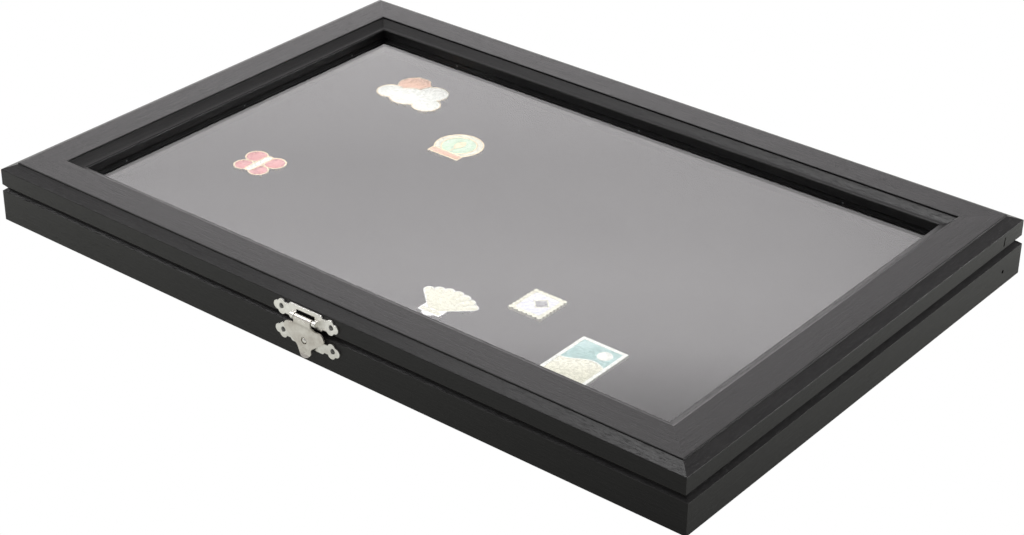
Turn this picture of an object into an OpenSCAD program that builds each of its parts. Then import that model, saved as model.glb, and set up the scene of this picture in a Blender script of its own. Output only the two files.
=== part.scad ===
// Pin display case: a hinged wooden frame with a glass lid over a felt pad.
// Origin at the middle of the underside, X along the long side, the latch faces -Y.

/* [Case] */
// Outer width of the lid, along X
case_w = 380; // [300:1:520]
// Outer depth of the lid, along Y
case_d = 258; // [200:1:400]
// Height of the base, from the underside to the parting line
base_h = 16.5; // [15:0.1:30]
// Height of the lid, from the parting line to the flat top
lid_h = 13.1; // [12:0.1:20]
// How far the front and back of the base stand in from those of the lid
base_inset = 0.5; // [0:0.1:1]
// How far the sides of the base stand out from those of the lid
base_overhang = 0.9; // [0:0.1:1.2]
// Depth of the groove along the parting line, measured in from the lid's face
groove_in = 2.1; // [1.2:0.1:3]
// Height of the groove's slope on the base
groove_base_h = 1.3; // [0.8:0.1:2.4]
// Height of the groove's slope on the lid
groove_lid_h = 2.4; // [1.5:0.1:3.5]
// Radius that softens the outer arrises of the rails
arris_r = 0.5; // [0.2:0.1:0.9]

/* [Lid frame] */
// Width of the bevel round the top
bevel_w = 5.6; // [4:0.1:9]
// Rise of the bevel
bevel_rise = 2.4; // [1:0.1:3]
// Height of the step between the bevel and the flat top
step_h = 0.8; // [0.4:0.1:1.2]
// Width of the flat top of a lid rail
flat_w = 15.6; // [10:0.1:24]
// Width of the small quirk inside the flat top
quirk_w = 0.35; // [0.2:0.05:0.8]
// Depth of the small quirk
quirk_d = 1; // [0.4:0.1:1.5]
// Width of the slope between the quirk and the glass
slope_w = 5.65; // [4:0.05:7]
// Drop of the slope
slope_drop = 2.7; // [1:0.1:3]
// Radius of the rounded edge where the slope ends over the glass
sight_r = 0.9; // [0.4:0.1:1.5]
// Thickness of the lip above the glass
lip_t = 4; // [2.5:0.1:4.5]
// Width of the rebate under the lip
rebate_w = 5.2; // [4:0.1:8]

/* [Glass] */
// Thickness of the glass
glass_t = 2; // [1.5:0.1:3]
// Gap between the glass's edge and the rebate
glass_gap = 0.5; // [0.2:0.1:1]
// Height of the strips that hold the glass in
strip_h = 3; // [2:0.1:3.2]
// How far the strips stand back behind the lip
strip_back = 0.4; // [0:0.1:1]

/* [Base] */
// Width of a base rail
wall_w = 20; // [18:0.1:23]
// Thickness of the back panel
panel_t = 3.2; // [2.5:0.1:4]
// Width of the rebate that the back panel lies in
panel_rebate_w = 6; // [4:0.1:8]
// Gap round the back panel
panel_gap = 0.3; // [0.1:0.1:0.8]
// Thickness of the foam under the felt
foam_t = 5; // [4.5:0.1:9]
// Thickness of the felt
felt_t = 0.8; // [0.5:0.1:1.5]
// Gap between the pad and the base rails
pad_gap = 0.4; // [0.2:0.1:2]

/* [Latch] */
// Place of the latch along the front, from the middle
latch_x = 0.3; // [-40:0.1:40]
// Thickness of the latch's sheet metal plates
plate_t = 0.8; // [0.5:0.1:0.8]
// Half the width of a plate's middle part
plate_half_w = 9.4; // [8.8:0.1:12]
// Distance from the middle of a plate to each nail
nail_x = 13.9; // [13.4:0.1:18]
// Height of the upper plate's middle part
strike_h = 7.6; // [7:0.1:8]
// Height of the lower plate's middle part
catch_h = 6.4; // [5.5:0.1:7]
// Height of the middle of the upper plate above the parting line
strike_rise = 5.6; // [5.4:0.1:5.8]
// Depth of the middle of the lower plate below the parting line
catch_fall = 6; // [5.6:0.1:6.4]
// Radius of the bar that the hasp turns on
bar_r = 0.6; // [0.5:0.05:0.7]
// How far the bar stands out from the lid's face
bar_out = 1.9; // [1.7:0.05:2.1]
// Height of the bar above the parting line
bar_rise = 4.9; // [4.7:0.1:5.1]
// Sheet thickness of the hasp
hasp_t = 0.7; // [0.5:0.05:0.7]
// Half the width of the hasp's neck
neck_half_w = 4.6; // [4:0.1:5.2]
// Half the width of the hasp at its shoulders
shoulder_half_w = 11.1; // [9.5:0.1:12.5]
// Length of the hasp from the bar to its tip
hasp_len = 18; // [17:0.1:19]
// Running clearance of the hasp on the bar, on the radius
hasp_clear = 0.05; // [0.02:0.01:0.1]
// Radius of the hole in the hasp
hasp_hole_r = 1.6; // [1.3:0.1:1.8]
// Radius of the domed stud under the hasp's hole
stud_r = 2.2; // [1.8:0.1:2.4]
// Clearance between the hasp's inner face and the stud's top
stud_gap = 0.1; // [0.05:0.05:0.2]
// Radius of a latch nail's shank
nail_r = 0.6; // [0.5:0.05:0.7]
// Length of a latch nail's shank
nail_len = 7; // [5:0.5:10]

/* [Hinges] */
// Distance from each side of the case to the middle of its hinge
hinge_from_side = 72; // [50:1:110]
// Length of a hinge
hinge_len = 26; // [24:1:34]
// Depth of a hinge leaf over the rail
leaf_d = 9; // [8:0.5:11]
// Thickness of a hinge leaf
leaf_t = 0.9; // [0.7:0.1:1.2]
// Outer radius of the hinge knuckles
knuckle_r = 1.7; // [1.5:0.1:2.2]
// Radius of the hinge pins
hinge_pin_r = 0.8; // [0.6:0.05:0.95]
// Running clearance on the hinge pins, on the radius
pin_clear = 0.05; // [0.02:0.01:0.1]
// Gap between the knuckles and the back of the lid
knuckle_gap = 0.25; // [0.2:0.05:0.6]
// Length of the middle knuckle
mid_knuckle = 8.6; // [7:0.1:12]
// Gap between neighbouring knuckles
knuckle_space = 0.2; // [0.1:0.05:0.4]
// Radius of a hinge screw's shank
screw_r = 0.9; // [0.7:0.05:1.1]
// Length of a hinge screw
screw_len = 8; // [6:0.5:9]

/* [Brads] */
// Radius of a corner brad in the base
brad_r = 0.6; // [0.5:0.05:0.8]
// Distance of a corner brad from the back face
brad_from_back = 16.6; // [8:0.1:24]
// Depth of the set hole over a corner brad
brad_set = 1.2; // [0.6:0.1:2]
// Length of a corner brad
brad_len = 22; // [18:1:30]
// Height of the flat brads in the lid's corners
flat_brad_h = 4.2; // [2:0.1:4.4]
// Thickness of the flat brads in the lid's corners
flat_brad_t = 0.9; // [0.6:0.1:1.2]
// Number of brads along a long side of the back panel
panel_brads_long = 5; // [3:1:8]
// Number of brads along a short side of the back panel
panel_brads_short = 3; // [2:1:6]
// Length of a back panel brad
panel_brad_len = 9; // [6:0.5:11]

/* [Pins] */
// Thickness of a pin's metal plate
badge_t = 1.4; // [1:0.1:2]
// Depth of the enamel cells
cell_d = 0.4; // [0.2:0.05:0.6]
// Width of the raised metal lines
line_w = 0.7; // [0.4:0.05:1.1]
// Radius of a pin's post
post_r = 0.5; // [0.4:0.05:0.7]
// Length of a pin's post in the pad
post_len = 4.6; // [3:0.1:5]

/* [Hidden] */
$fn = 48;

front = 0;
right = 1;
back = 2;
left = 3;
half_w = case_w / 2;
half_d = case_d / 2;
base_half_w = half_w + base_overhang;
slack = 0.05;
cut = 1;

// Heights
lid_top = base_h + lid_h;
bevel_top = lid_top - step_h;
fascia_top = bevel_top - bevel_rise;
fascia_bottom = base_h + groove_lid_h;
quirk_z = lid_top - quirk_d;
lip_top = quirk_z - slope_drop;
glass_top = lip_top - lip_t;
glass_bottom = glass_top - glass_t;
foam_top = panel_t + foam_t;
pad_top = foam_top + felt_t;

// Distances in from the lid's outer face
flat_in = bevel_w + flat_w;
quirk_in = flat_in + quirk_w;
sight_in = quirk_in + slope_w;
rebate_in = sight_in - rebate_w;
wall_in = base_inset + wall_w;
panel_in = wall_in - panel_rebate_w;
pad_in = wall_in + pad_gap;
rail_reach = sight_in + 5;
quirk_arris_r = 0.3;

// Latch
front_y = -half_d;
base_front_y = front_y + base_inset;
strike_z = base_h + strike_rise;
catch_z = base_h - catch_fall;
bar_z = base_h + bar_rise;
bar_y = front_y - bar_out;
barrel_r = bar_r + hasp_clear + hasp_t;
slot_side_gap = 0.5;
slot_under_barrel = 0.35;
slot_over_barrel = 1.2;
slot_half_w = neck_half_w + slot_side_gap;
slot_z0 = bar_z - barrel_r - slot_under_barrel;
slot_z1 = bar_z + barrel_r + slot_over_barrel;
lug_w = 2;
lug_wall = 0.6;
lug_r = bar_r + lug_wall;
hasp_stand_off = 0.8;
hasp_inner = plate_t + hasp_stand_off;
stud_above_plate_mid = 0.9;
stud_z = catch_z + stud_above_plate_mid;
stud_plate_y = base_front_y - plate_t;
stud_h = stud_plate_y - (front_y - hasp_inner) - stud_gap;
nail_head_r = nail_r + 0.5;
nail_sink_r = nail_r + 1.15;
nail_sink_h = plate_t * 0.7;
nail_seat_h = plate_t * 0.315;
nail_dome_r = 1.6;
nail_dome_rise = 0.5;
nail_hole_len = nail_len + plate_t + 0.5;

// Hinges
hinge_axis_y = half_d + knuckle_gap + knuckle_r;
hinge_axis_z = base_h;
hinge_x = half_w - hinge_from_side;
leaf_y0 = half_d - leaf_d;
screw_from_end = 4.5;
screw_tip = 1.5;
screw_head_gap = 0.1;
screw_x = hinge_len / 2 - screw_from_end;
screw_y = half_d - leaf_d * 0.55;
screw_head_r = screw_r * 1.9;
screw_head_h = screw_head_r - screw_r;

// Brads
lid_brad_drop = 0.3;
base_brad_drop = 0.5;
lid_brad_z = (fascia_bottom + fascia_top) / 2 - lid_brad_drop;
base_brad_z = base_h / 2 - base_brad_drop;
brad_y = half_d - brad_from_back;
set_hole_r = brad_r + 0.3;
brad_head_r = brad_r * 2;
brad_head_h = 0.4;
brad_head_down = 0.2;
brad_tip = 1.2;
point_r = 0.1;
panel_brad_from_corner = 8;
strip_brad_r = 0.45;
strip_brad_hold = 6;
strip_brad_spread = 0.6;
strip_chamfer = 1;

wood = "#1c1b1d";
nickel = "#c9c6bf";
steel = "#9a9a9c";
felt = "#131315";

// Points of an arc about c, from angle a0 to a1
function arc(c, r, a0, a1, n = 6) =
    [for (i = [0:n]) let (a = a0 + (a1 - a0) * i / n) c + r * [cos(a), sin(a)]];

// Section of a lid rail: u runs in from the outer face, the second number is the height
function lid_section() = concat(
    [[groove_in, base_h], [0, fascia_bottom]],
    arc([arris_r, fascia_top - arris_r / 3], arris_r, 180, 112, 5),
    [[bevel_w, bevel_top]],
    arc([bevel_w + arris_r, lid_top - arris_r], arris_r, 180, 90, 5),
    arc([flat_in - quirk_arris_r, lid_top - quirk_arris_r], quirk_arris_r, 90, 0, 4),
    [[flat_in, quirk_z], [quirk_in, quirk_z]],
    sight_edge(),
    [
        [sight_in, glass_top],
        [rebate_in, glass_top],
        [rebate_in, base_h]
    ]
);

// Rounded end of the slope over the glass
function sight_edge() = let (
    fall = atan(slope_drop / slope_w),
    centre_u = sight_in - sight_r,
    centre_z = quirk_z - (slope_w - sight_r) * tan(fall) - sight_r / cos(fall)
) arc([centre_u, centre_z], sight_r, 90 - fall, 0, 6);

// Section of a base rail whose outer face stands in by the given distance
function base_section(inset) = concat(
    [
        [groove_in, base_h],
        [inset, base_h - groove_base_h]
    ],
    arc([inset + arris_r, arris_r], arris_r, 180, 270, 5),
    [
        [panel_in, 0],
        [panel_in, panel_t],
        [wall_in, panel_t],
        [wall_in, base_h]
    ]
);

// Turns a piece drawn for the front side to one of the four sides
module on_side(side) {
    rotate([0, 0, 90 * side]) children();
}

function side_half(side) = side % 2 == 0 ? half_w : half_d;
function side_out(side) = side % 2 == 0 ? half_d : half_w;
function base_face_in(side) = side % 2 == 0 ? base_inset : -base_overhang;

// One rail of a frame, mitred at both ends. The mitre runs through two points, each given by its
// distances in from the lid's outer face and from the end of the side.
module mitred_rail(side, section, outer = [0, 0], inner = [rail_reach, rail_reach]) {
    half = side_half(side);
    beyond = 0.1;
    start = outer - beyond * (inner - outer);
    stop = inner + beyond * (inner - outer);
    on_side(side) translate([0, -side_out(side), 0]) intersection() {
        rotate([90, 0, 90])
            linear_extrude(2 * half + 2 * rail_reach, center = true) polygon(section);
        translate([0, 0, -cut])
            linear_extrude(lid_top + 2 * cut)
                polygon([
                    [start[1] - half, start[0]], [half - start[1], start[0]],
                    [half - stop[1], stop[0]], [stop[1] - half, stop[0]]
                ]);
    }
}

// Cylinder along X that starts at the given point
module rod_x(p, r, len) {
    translate(p) rotate([0, 90, 0]) cylinder(r = r, h = len);
}

// Cylinder along Y that starts at the given point
module rod_y(p, r, len) {
    translate(p) rotate([-90, 0, 0]) cylinder(r = r, h = len);
}

// Runs the same piece for the left and the right hand side
module both_sides() {
    for (s = [-1, 1]) scale_x(s) children();
}

module scale_x(s) {
    if (s < 0) mirror([1, 0, 0]) children();
    else children();
}

// Base frame

module base_corner_holes() {
    both_sides() {
        rod_x([base_half_w - brad_set - brad_len - slack, brad_y, base_brad_z],
            brad_r + slack, brad_len + slack);
        rod_x([base_half_w - brad_set - slack, brad_y, base_brad_z], set_hole_r, brad_set + cut);
    }
}

module panel_brad_places() {
    u = (panel_in + wall_in) / 2;
    for (side = [front:left]) {
        n = side % 2 == 0 ? panel_brads_long : panel_brads_short;
        pitch = 2 * (side_half(side) - wall_in - panel_brad_from_corner) / (n - 1);
        on_side(side)
            for (i = [0:n - 1])
                translate([(i - (n - 1) / 2) * pitch, u - side_out(side), 0]) children();
    }
}

module base_rail(side) {
    face_in = base_face_in(side);
    end_in = base_face_in(side + 1);
    color(wood) difference() {
        mitred_rail(side, base_section(face_in), [face_in, end_in], [wall_in, wall_in]);
        if (side != front) base_corner_holes();
        if (side == front) catch_nail_holes();
        if (side == back) hinge_pockets(-leaf_t);
        if (side == back) leaf_screw_holes(-1);
        panel_brad_places() translate([0, 0, -cut])
            cylinder(r = brad_r + slack, h = panel_brad_len + cut + slack, $fn = 24);
    }
}

module back_panel() {
    edge = panel_in + panel_gap;
    color("#5a4636") difference() {
        translate([-half_w + edge, -half_d + edge, 0])
            cube([case_w - 2 * edge, case_d - 2 * edge, panel_t]);
        panel_brad_places() {
            translate([0, 0, -cut])
                cylinder(r = brad_r + slack, h = panel_t + 2 * cut, $fn = 24);
            translate([0, 0, -cut])
                cylinder(r = brad_head_r + slack, h = cut + brad_head_down + brad_head_h,
                    $fn = 24);
        }
    }
}

module panel_brads() {
    shank = panel_brad_len - brad_head_down - brad_tip;
    color(steel) panel_brad_places() translate([0, 0, brad_head_down]) {
        cylinder(r = brad_head_r, h = brad_head_h, $fn = 24);
        cylinder(r = brad_r, h = shank, $fn = 24);
        translate([0, 0, shank]) cylinder(r1 = brad_r, r2 = point_r, h = brad_tip, $fn = 24);
    }
}

module base_corner_brads() {
    color(steel) both_sides()
        rod_x([base_half_w - brad_set - brad_len, brad_y, base_brad_z], brad_r, brad_len);
}

// Pad

module pad_block(edge, z0, z1) {
    translate([-half_w + edge, -half_d + edge, z0])
        cube([case_w - 2 * edge, case_d - 2 * edge, z1 - z0]);
}

module foam_pad() {
    color("#2b2b2e") difference() {
        pad_block(pad_in + felt_t, panel_t, foam_top);
        post_holes();
    }
}

module felt_cover() {
    color(felt) difference() {
        pad_block(pad_in, panel_t, pad_top);
        pad_block(pad_in + felt_t, panel_t - cut, foam_top);
        post_holes();
    }
}

// Latch plates

// Trefoil end of a plate about its nail
module plate_ear() {
    lobe_r = 2.1;
    ear_r = 2.8;
    end_lobe_out = 2;
    side_lobe_out = 1.55;
    side_lobe_turn = 104;
    circle(r = ear_r);
    translate([end_lobe_out, 0]) circle(r = lobe_r);
    for (a = [-side_lobe_turn, side_lobe_turn])
        translate(side_lobe_out * [cos(a), sin(a)]) circle(r = lobe_r);
}

// Rectangle with rounded corners about the origin
module rounded(size, r) {
    square([size[0] - 2 * r, size[1]], center = true);
    square([size[0], size[1] - 2 * r], center = true);
    for (x = [-1, 1], y = [-1, 1])
        translate([x * (size[0] / 2 - r), y * (size[1] / 2 - r)]) circle(r = r);
}

module plate_outline(h) {
    corner_r = 1.3;
    neck_share = 0.68;
    rounded([2 * plate_half_w, h], corner_r);
    square([2 * nail_x, h * neck_share], center = true);
    for (s = [-1, 1]) scale_x(s) translate([nail_x, 0]) plate_ear();
}

// Stands a flat outline against the front face, with its thickness towards the viewer
module stand_plate(y, z, t) {
    translate([latch_x, y, z]) rotate([90, 0, 0]) linear_extrude(t) children();
}

module nail_place(y, z) {
    for (s = [-1, 1]) translate([latch_x + s * nail_x, y, z]) rotate([-90, 0, 0]) children();
}

// Countersunk hole for a domed nail
module nail_sink() {
    translate([0, 0, -cut]) cylinder(r = nail_r + slack, h = plate_t + 2 * cut, $fn = 32);
    cylinder(r1 = nail_sink_r, r2 = nail_r + slack, h = nail_sink_h, $fn = 32);
}

// Nail with a domed head that sits part way down its countersink
module nail() {
    translate([0, 0, nail_seat_h]) {
        cylinder(r1 = nail_head_r, r2 = nail_r, h = nail_sink_h / 2, $fn = 32);
        cylinder(r = nail_r, h = nail_len, $fn = 32);
        intersection() {
            translate([0, 0, nail_dome_r - nail_dome_rise]) sphere(r = nail_dome_r, $fn = 40);
            translate([0, 0, -nail_dome_r])
                cylinder(r = nail_head_r, h = nail_dome_r, $fn = 32);
        }
    }
}

module catch_nail_holes() {
    nail_place(stud_plate_y, catch_z)
        cylinder(r = nail_r + slack, h = nail_hole_len, $fn = 32);
}

module strike_nail_holes() {
    nail_place(front_y - plate_t, strike_z)
        cylinder(r = nail_r + slack, h = nail_hole_len, $fn = 32);
}

module catch_plate() {
    color(nickel) difference() {
        stand_plate(base_front_y, catch_z, plate_t) plate_outline(catch_h);
        nail_place(stud_plate_y, catch_z) nail_sink();
        rod_y([latch_x, stud_plate_y - cut, stud_z], stud_r / 2 + slack, plate_t + 2 * cut);
    }
}

// Stud with a low crown, riveted through the lower plate
module catch_stud() {
    crown_share = 0.6;
    crown_h = stud_h * crown_share;
    crown_r = (stud_r * stud_r + crown_h * crown_h) / (2 * crown_h);
    color(nickel) {
        intersection() {
            translate([latch_x, stud_plate_y - stud_h + crown_r, stud_z])
                sphere(r = crown_r, $fn = 64);
            rod_y([latch_x, stud_plate_y - stud_h - cut, stud_z], stud_r, stud_h + cut);
        }
        rod_y([latch_x, stud_plate_y, stud_z], stud_r / 2, plate_t - slack);
    }
}

module catch_nails() {
    color(nickel) nail_place(stud_plate_y, catch_z) nail();
}

module strike_plate() {
    color(nickel) {
        difference() {
            stand_plate(front_y, strike_z, plate_t) difference() {
                plate_outline(strike_h);
                translate([-slot_half_w, slot_z0 - strike_z])
                    square([2 * slot_half_w, slot_z1 - slot_z0]);
            }
            nail_place(front_y - plate_t, strike_z) nail_sink();
        }
        rod_x([latch_x - slot_half_w - lug_w / 2, bar_y, bar_z], bar_r, 2 * slot_half_w + lug_w);
        for (s = [-1, 1]) translate([latch_x + s * (slot_half_w + lug_w / 2), 0, 0]) strike_lug();
    }
}

// Pressed lug that carries one end of the bar
module strike_lug() {
    into_plate = 0.1;
    rod_x([-lug_w / 2, bar_y, bar_z], lug_r, lug_w);
    translate([-lug_w / 2, bar_y, bar_z - lug_r])
        cube([lug_w, bar_out - plate_t + into_plate, 2 * lug_r]);
}

module strike_nails() {
    color(nickel) nail_place(front_y - plate_t, strike_z) nail();
}

// Hasp

// Right half of the hasp's outline, from the neck's top to the tip, measured from the bar
function hasp_half_outline() = let (
    top_y = -3.4,
    fillet_r = 2.2,
    lobe_r = 2.8,
    waist_r = 2.2,
    tongue_r = 3.6,
    lobe = [shoulder_half_w - lobe_r, top_y - lobe_r],
    tongue = [0, -hasp_len + tongue_r],
    waist = [tongue_r + waist_r, -hasp_len + tongue_r]
) concat(
    [[neck_half_w, 0]],
    arc([neck_half_w + fillet_r, top_y + fillet_r], fillet_r, 180, 265, 6),
    arc(lobe, lobe_r, 88, -42, 12),
    arc(waist, waist_r, 128, 180, 5),
    arc(tongue, tongue_r, -10, -90, 8)
);

function mirrored(points) = concat(
    points,
    [for (i = [len(points) - 1:-1:0]) [-points[i][0], points[i][1]]]
);

// Bent strip seen from the side: each point is the middle of the sheet, out and up from the bar
module hasp_side() {
    body = hasp_inner + hasp_t / 2 - bar_out;
    neck = barrel_r - hasp_t / 2;
    tip = -hasp_len;
    dish = 0.4;
    flick = 0.5;
    path = [
        [neck, -0.3], [neck, -2], [body + 0.1, -3.6], [body, -4.2],
        [body, tip + 4.4], [body - dish / 4, tip + 3.8], [body - dish, tip + 2.3],
        [body - dish * 0.6, tip + 1.4], [body + flick, tip]
    ];
    half = [hasp_t / 2, 0];
    polygon(concat(
        [for (p = path) p + half],
        [for (i = [len(path) - 1:-1:0]) path[i] - half]
    ));
}

module hasp() {
    width = 2 * shoulder_half_w + 2 * cut;
    reach = 2 * (bar_out + barrel_r);
    color(nickel) translate([latch_x, bar_y, bar_z]) difference() {
        union() {
            intersection() {
                rotate([90, 0, 0])
                    linear_extrude(2 * reach, center = true)
                        polygon(mirrored(hasp_half_outline()));
                mirror([0, 1, 0]) rotate([90, 0, 90])
                    linear_extrude(width, center = true) hasp_side();
            }
            rod_x([-neck_half_w, 0, 0], barrel_r, 2 * neck_half_w);
        }
        rod_x([-neck_half_w - cut, 0, 0], bar_r + hasp_clear, 2 * (neck_half_w + cut));
        rod_y([0, -reach, stud_z - bar_z], hasp_hole_r, 2 * reach);
    }
}

// Hinges

module hinge_pockets(dz) {
    for (s = [-1, 1])
        translate([s * hinge_x - hinge_len / 2 - slack, leaf_y0 - slack, hinge_axis_z + min(dz, 0)])
            cube([hinge_len + 2 * slack, leaf_d + slack + cut, abs(dz)]);
}

module screw_places(side) {
    for (s = [-1, 1]) translate([side * hinge_x + s * screw_x, screw_y, hinge_axis_z]) children();
}

module leaf_screw_holes(dir) {
    for (side = [-1, 1]) screw_places(side)
        scale([1, 1, dir]) cylinder(r = screw_r + slack, h = screw_len + screw_r, $fn = 32);
}

// Screw whose head lies just under the leaf's face, pointing up for dir = 1
module leaf_screw(dir) {
    shank = screw_len - screw_tip;
    scale([1, 1, dir]) translate([0, 0, slack]) {
        cylinder(r1 = screw_head_r, r2 = screw_r, h = screw_head_h, $fn = 32);
        cylinder(r = screw_r, h = shank, $fn = 32);
        translate([0, 0, shank]) cylinder(r1 = screw_r, r2 = point_r, h = screw_tip, $fn = 32);
    }
}

// One leaf: dir is 1 for the lid's leaf above the axis and -1 for the base's below it
module hinge_leaf(side, dir) {
    half_mid = mid_knuckle / 2;
    color(nickel) translate([side * hinge_x, 0, hinge_axis_z]) difference() {
        union() {
            translate([-hinge_len / 2, leaf_y0, min(dir * leaf_t, 0)])
                cube([hinge_len, hinge_axis_y - leaf_y0, leaf_t]);
            rod_x([-hinge_len / 2, hinge_axis_y, 0], knuckle_r, hinge_len);
        }
        rod_x([-hinge_len / 2 - cut, hinge_axis_y, 0], hinge_pin_r + pin_clear, hinge_len + 2 * cut);
        if (dir < 0) knuckle_notch(-half_mid - knuckle_space, half_mid + knuckle_space);
        if (dir > 0) knuckle_notch(-hinge_len / 2 - cut, -half_mid);
        if (dir > 0) knuckle_notch(half_mid, hinge_len / 2 + cut);
        for (s = [-1, 1]) translate([s * screw_x, screw_y, 0]) scale([1, 1, dir]) {
            translate([0, 0, -cut]) cylinder(r = screw_r + slack, h = leaf_t + 2 * cut, $fn = 32);
            cylinder(r1 = screw_head_r + screw_head_gap, r2 = screw_r + screw_head_gap,
                h = screw_head_h, $fn = 32);
        }
    }
}

module knuckle_notch(x0, x1) {
    reach = knuckle_r + knuckle_gap * 0.6;
    translate([x0, hinge_axis_y - reach, -knuckle_r - cut])
        cube([x1 - x0, 2 * reach, 2 * knuckle_r + 2 * cut]);
}

module hinge_pin(side) {
    color(steel) rod_x([side * hinge_x - hinge_len / 2, hinge_axis_y, hinge_axis_z],
        hinge_pin_r, hinge_len);
}

module base_leaf_screws() {
    color(nickel) for (side = [-1, 1]) screw_places(side) leaf_screw(-1);
}

module lid_leaf_screws() {
    color(nickel) for (side = [-1, 1]) screw_places(side) leaf_screw(1);
}

// Lid frame

module lid_corner_holes() {
    both_sides() {
        translate([
            half_w - brad_set - brad_len - slack,
            brad_y - flat_brad_t / 2 - slack,
            lid_brad_z - flat_brad_h / 2 - slack
        ])
            cube([brad_len + brad_set + cut, flat_brad_t + 2 * slack, flat_brad_h + 2 * slack]);
    }
}

module lid_rail(side) {
    color(wood) difference() {
        mitred_rail(side, lid_section());
        if (side != front) lid_corner_holes();
        if (side == front) strike_nail_holes();
        if (side == back) hinge_pockets(leaf_t);
        if (side == back) leaf_screw_holes(1);
        strip_brad_places() strip_brad_hole();
    }
}

module lid_corner_brads() {
    color(steel) both_sides()
        translate([
            half_w - brad_set - brad_len,
            brad_y - flat_brad_t / 2,
            lid_brad_z - flat_brad_h / 2
        ])
            cube([brad_len, flat_brad_t, flat_brad_h]);
}

// Glass and its strips

module glass_pane() {
    edge = rebate_in + glass_gap;
    color([0.75, 0.8, 0.8, 0.35])
        translate([-half_w + edge, -half_d + edge, glass_bottom])
            cube([case_w - 2 * edge, case_d - 2 * edge, glass_t]);
}

function strip_section() = [
    [rebate_in, glass_bottom],
    [rebate_in, glass_bottom - strip_h],
    [sight_in - strip_back - strip_chamfer, glass_bottom - strip_h],
    [sight_in - strip_back, glass_bottom - strip_h + strip_chamfer],
    [sight_in - strip_back, glass_bottom]
];

module strip_brad_places() {
    for (side = [front:left])
        on_side(side)
            for (t = [-strip_brad_spread, 0, strip_brad_spread])
                translate([t * side_half(side), rebate_in - side_out(side), glass_bottom - strip_h / 2])
                    rotate([90, 0, 0]) children();
}

module strip_brad_hole() {
    translate([0, 0, -rebate_w - cut])
        cylinder(r = strip_brad_r + slack, h = rebate_w + strip_brad_hold + cut + slack,
            $fn = 24);
}

module glass_strip(side) {
    color(wood) difference() {
        mitred_rail(side, strip_section());
        strip_brad_places() strip_brad_hole();
    }
}

module glass_strip_brads() {
    color(steel) strip_brad_places() translate([0, 0, -rebate_w + strip_back])
        cylinder(r = strip_brad_r, h = rebate_w - strip_back + strip_brad_hold, $fn = 24);
}

// Pins on the pad

// Each pin is placed from the two sides of the case that it lies nearest to
badge_cloud = [70.5 - half_w, half_d - 51.8];
badge_tulip = [124.1 - half_w, half_d - 82.4];
badge_butterfly = [64 - half_w, 100.5 - half_d];
badge_shell = [half_w - 165.4, 59.8 - half_d];
badge_stamp = [half_w - 134.4, 83 - half_d];
badge_hills = [half_w - 92, 59 - half_d];
badge_places = [
    badge_cloud, badge_tulip, badge_butterfly, badge_shell, badge_stamp, badge_hills
];
post_spread = 5;
post_tip = 1;
gilt = "#cdb98a";

module post_holes() {
    for (p = badge_places, s = [-1, 1])
        translate([p[0] + s * post_spread, p[1], pad_top - post_len - slack])
            cylinder(r = post_r + slack, h = post_len + slack + cut, $fn = 24);
}

// Plate of a pin with two posts: the first child is its outline, the second its enamel cells
module badge(place, metal) {
    color(metal) translate([place[0], place[1], pad_top]) {
        difference() {
            linear_extrude(badge_t) children(0);
            translate([0, 0, badge_t - cell_d]) linear_extrude(cell_d + cut) children(1);
        }
        for (s = [-1, 1]) translate([s * post_spread, 0, -post_len]) {
            translate([0, 0, post_tip])
                cylinder(r = post_r, h = post_len - post_tip + slack, $fn = 24);
            cylinder(r1 = point_r, r2 = post_r, h = post_tip, $fn = 24);
        }
    }
}

// Four round puffs of a cloud: where each lies, and its radius
module cloud_puffs(inset) {
    puffs = [[-12.4, -5.5, 7.3], [-1.7, -4.6, 9.8], [12, -6.6, 7.5], [6.6, 5, 8.4]];
    for (p = puffs) translate([p[0], p[1]]) circle(r = p[2] - inset);
}

module sun_disc(inset) {
    sun_r = 8.8;
    translate([-7.7, 7.7]) circle(r = sun_r - inset);
}

module pin_cloud() {
    badge(badge_cloud, gilt) {
        union() {
            cloud_puffs(0);
            sun_disc(0);
        }
        union() {
            cloud_puffs(line_w);
            difference() {
                sun_disc(line_w);
                cloud_puffs(0);
            }
        }
    }
}

// Bud between two arcs, on a stem
module tulip_shape() {
    petal_r = 5;
    petal_x = 2.6;
    bud_y = 0.7;
    stem = 6.6;
    intersection() {
        translate([-petal_x, bud_y]) circle(r = petal_r);
        translate([petal_x, bud_y]) circle(r = petal_r);
    }
    translate([-line_w / 2, -stem - 0.2]) square([line_w, stem]);
}

module pin_tulip() {
    bar = [18.6, 5];
    bar_y0 = -12.8;
    disc_r = 12.2;
    ring_r = 9;
    badge(badge_tulip, gilt) {
        union() {
            circle(r = disc_r);
            translate([-bar[0] / 2, bar_y0]) square(bar);
        }
        union() {
            difference() {
                union() {
                    difference() {
                        circle(r = disc_r - line_w);
                        circle(r = ring_r);
                    }
                    difference() {
                        circle(r = ring_r - line_w);
                        tulip_shape();
                    }
                }
                translate([-disc_r, -disc_r]) square([2 * disc_r, bar_y0 + bar[1] + disc_r]);
            }
            translate([-bar[0] / 2 + line_w, bar_y0 + line_w])
                square(bar - 2 * [line_w, line_w]);
        }
    }
}

// Upper and lower wing on each side: where each lies, and its radius
module wing_pair(inset) {
    wings = [[5.9, 4.6, 5.6], [4.7, -5.4, 5]];
    for (s = [-1, 1], w = wings) translate([s * w[0], w[1]]) circle(r = w[2] - inset);
}

module butterfly_body(inset) {
    body_r = 2.3 - inset;
    head_y = 6.4;
    tail_y = -6.6;
    translate([0, head_y]) circle(r = body_r);
    translate([0, tail_y]) circle(r = body_r);
    translate([-body_r, tail_y]) square([2 * body_r, head_y - tail_y]);
}

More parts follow.
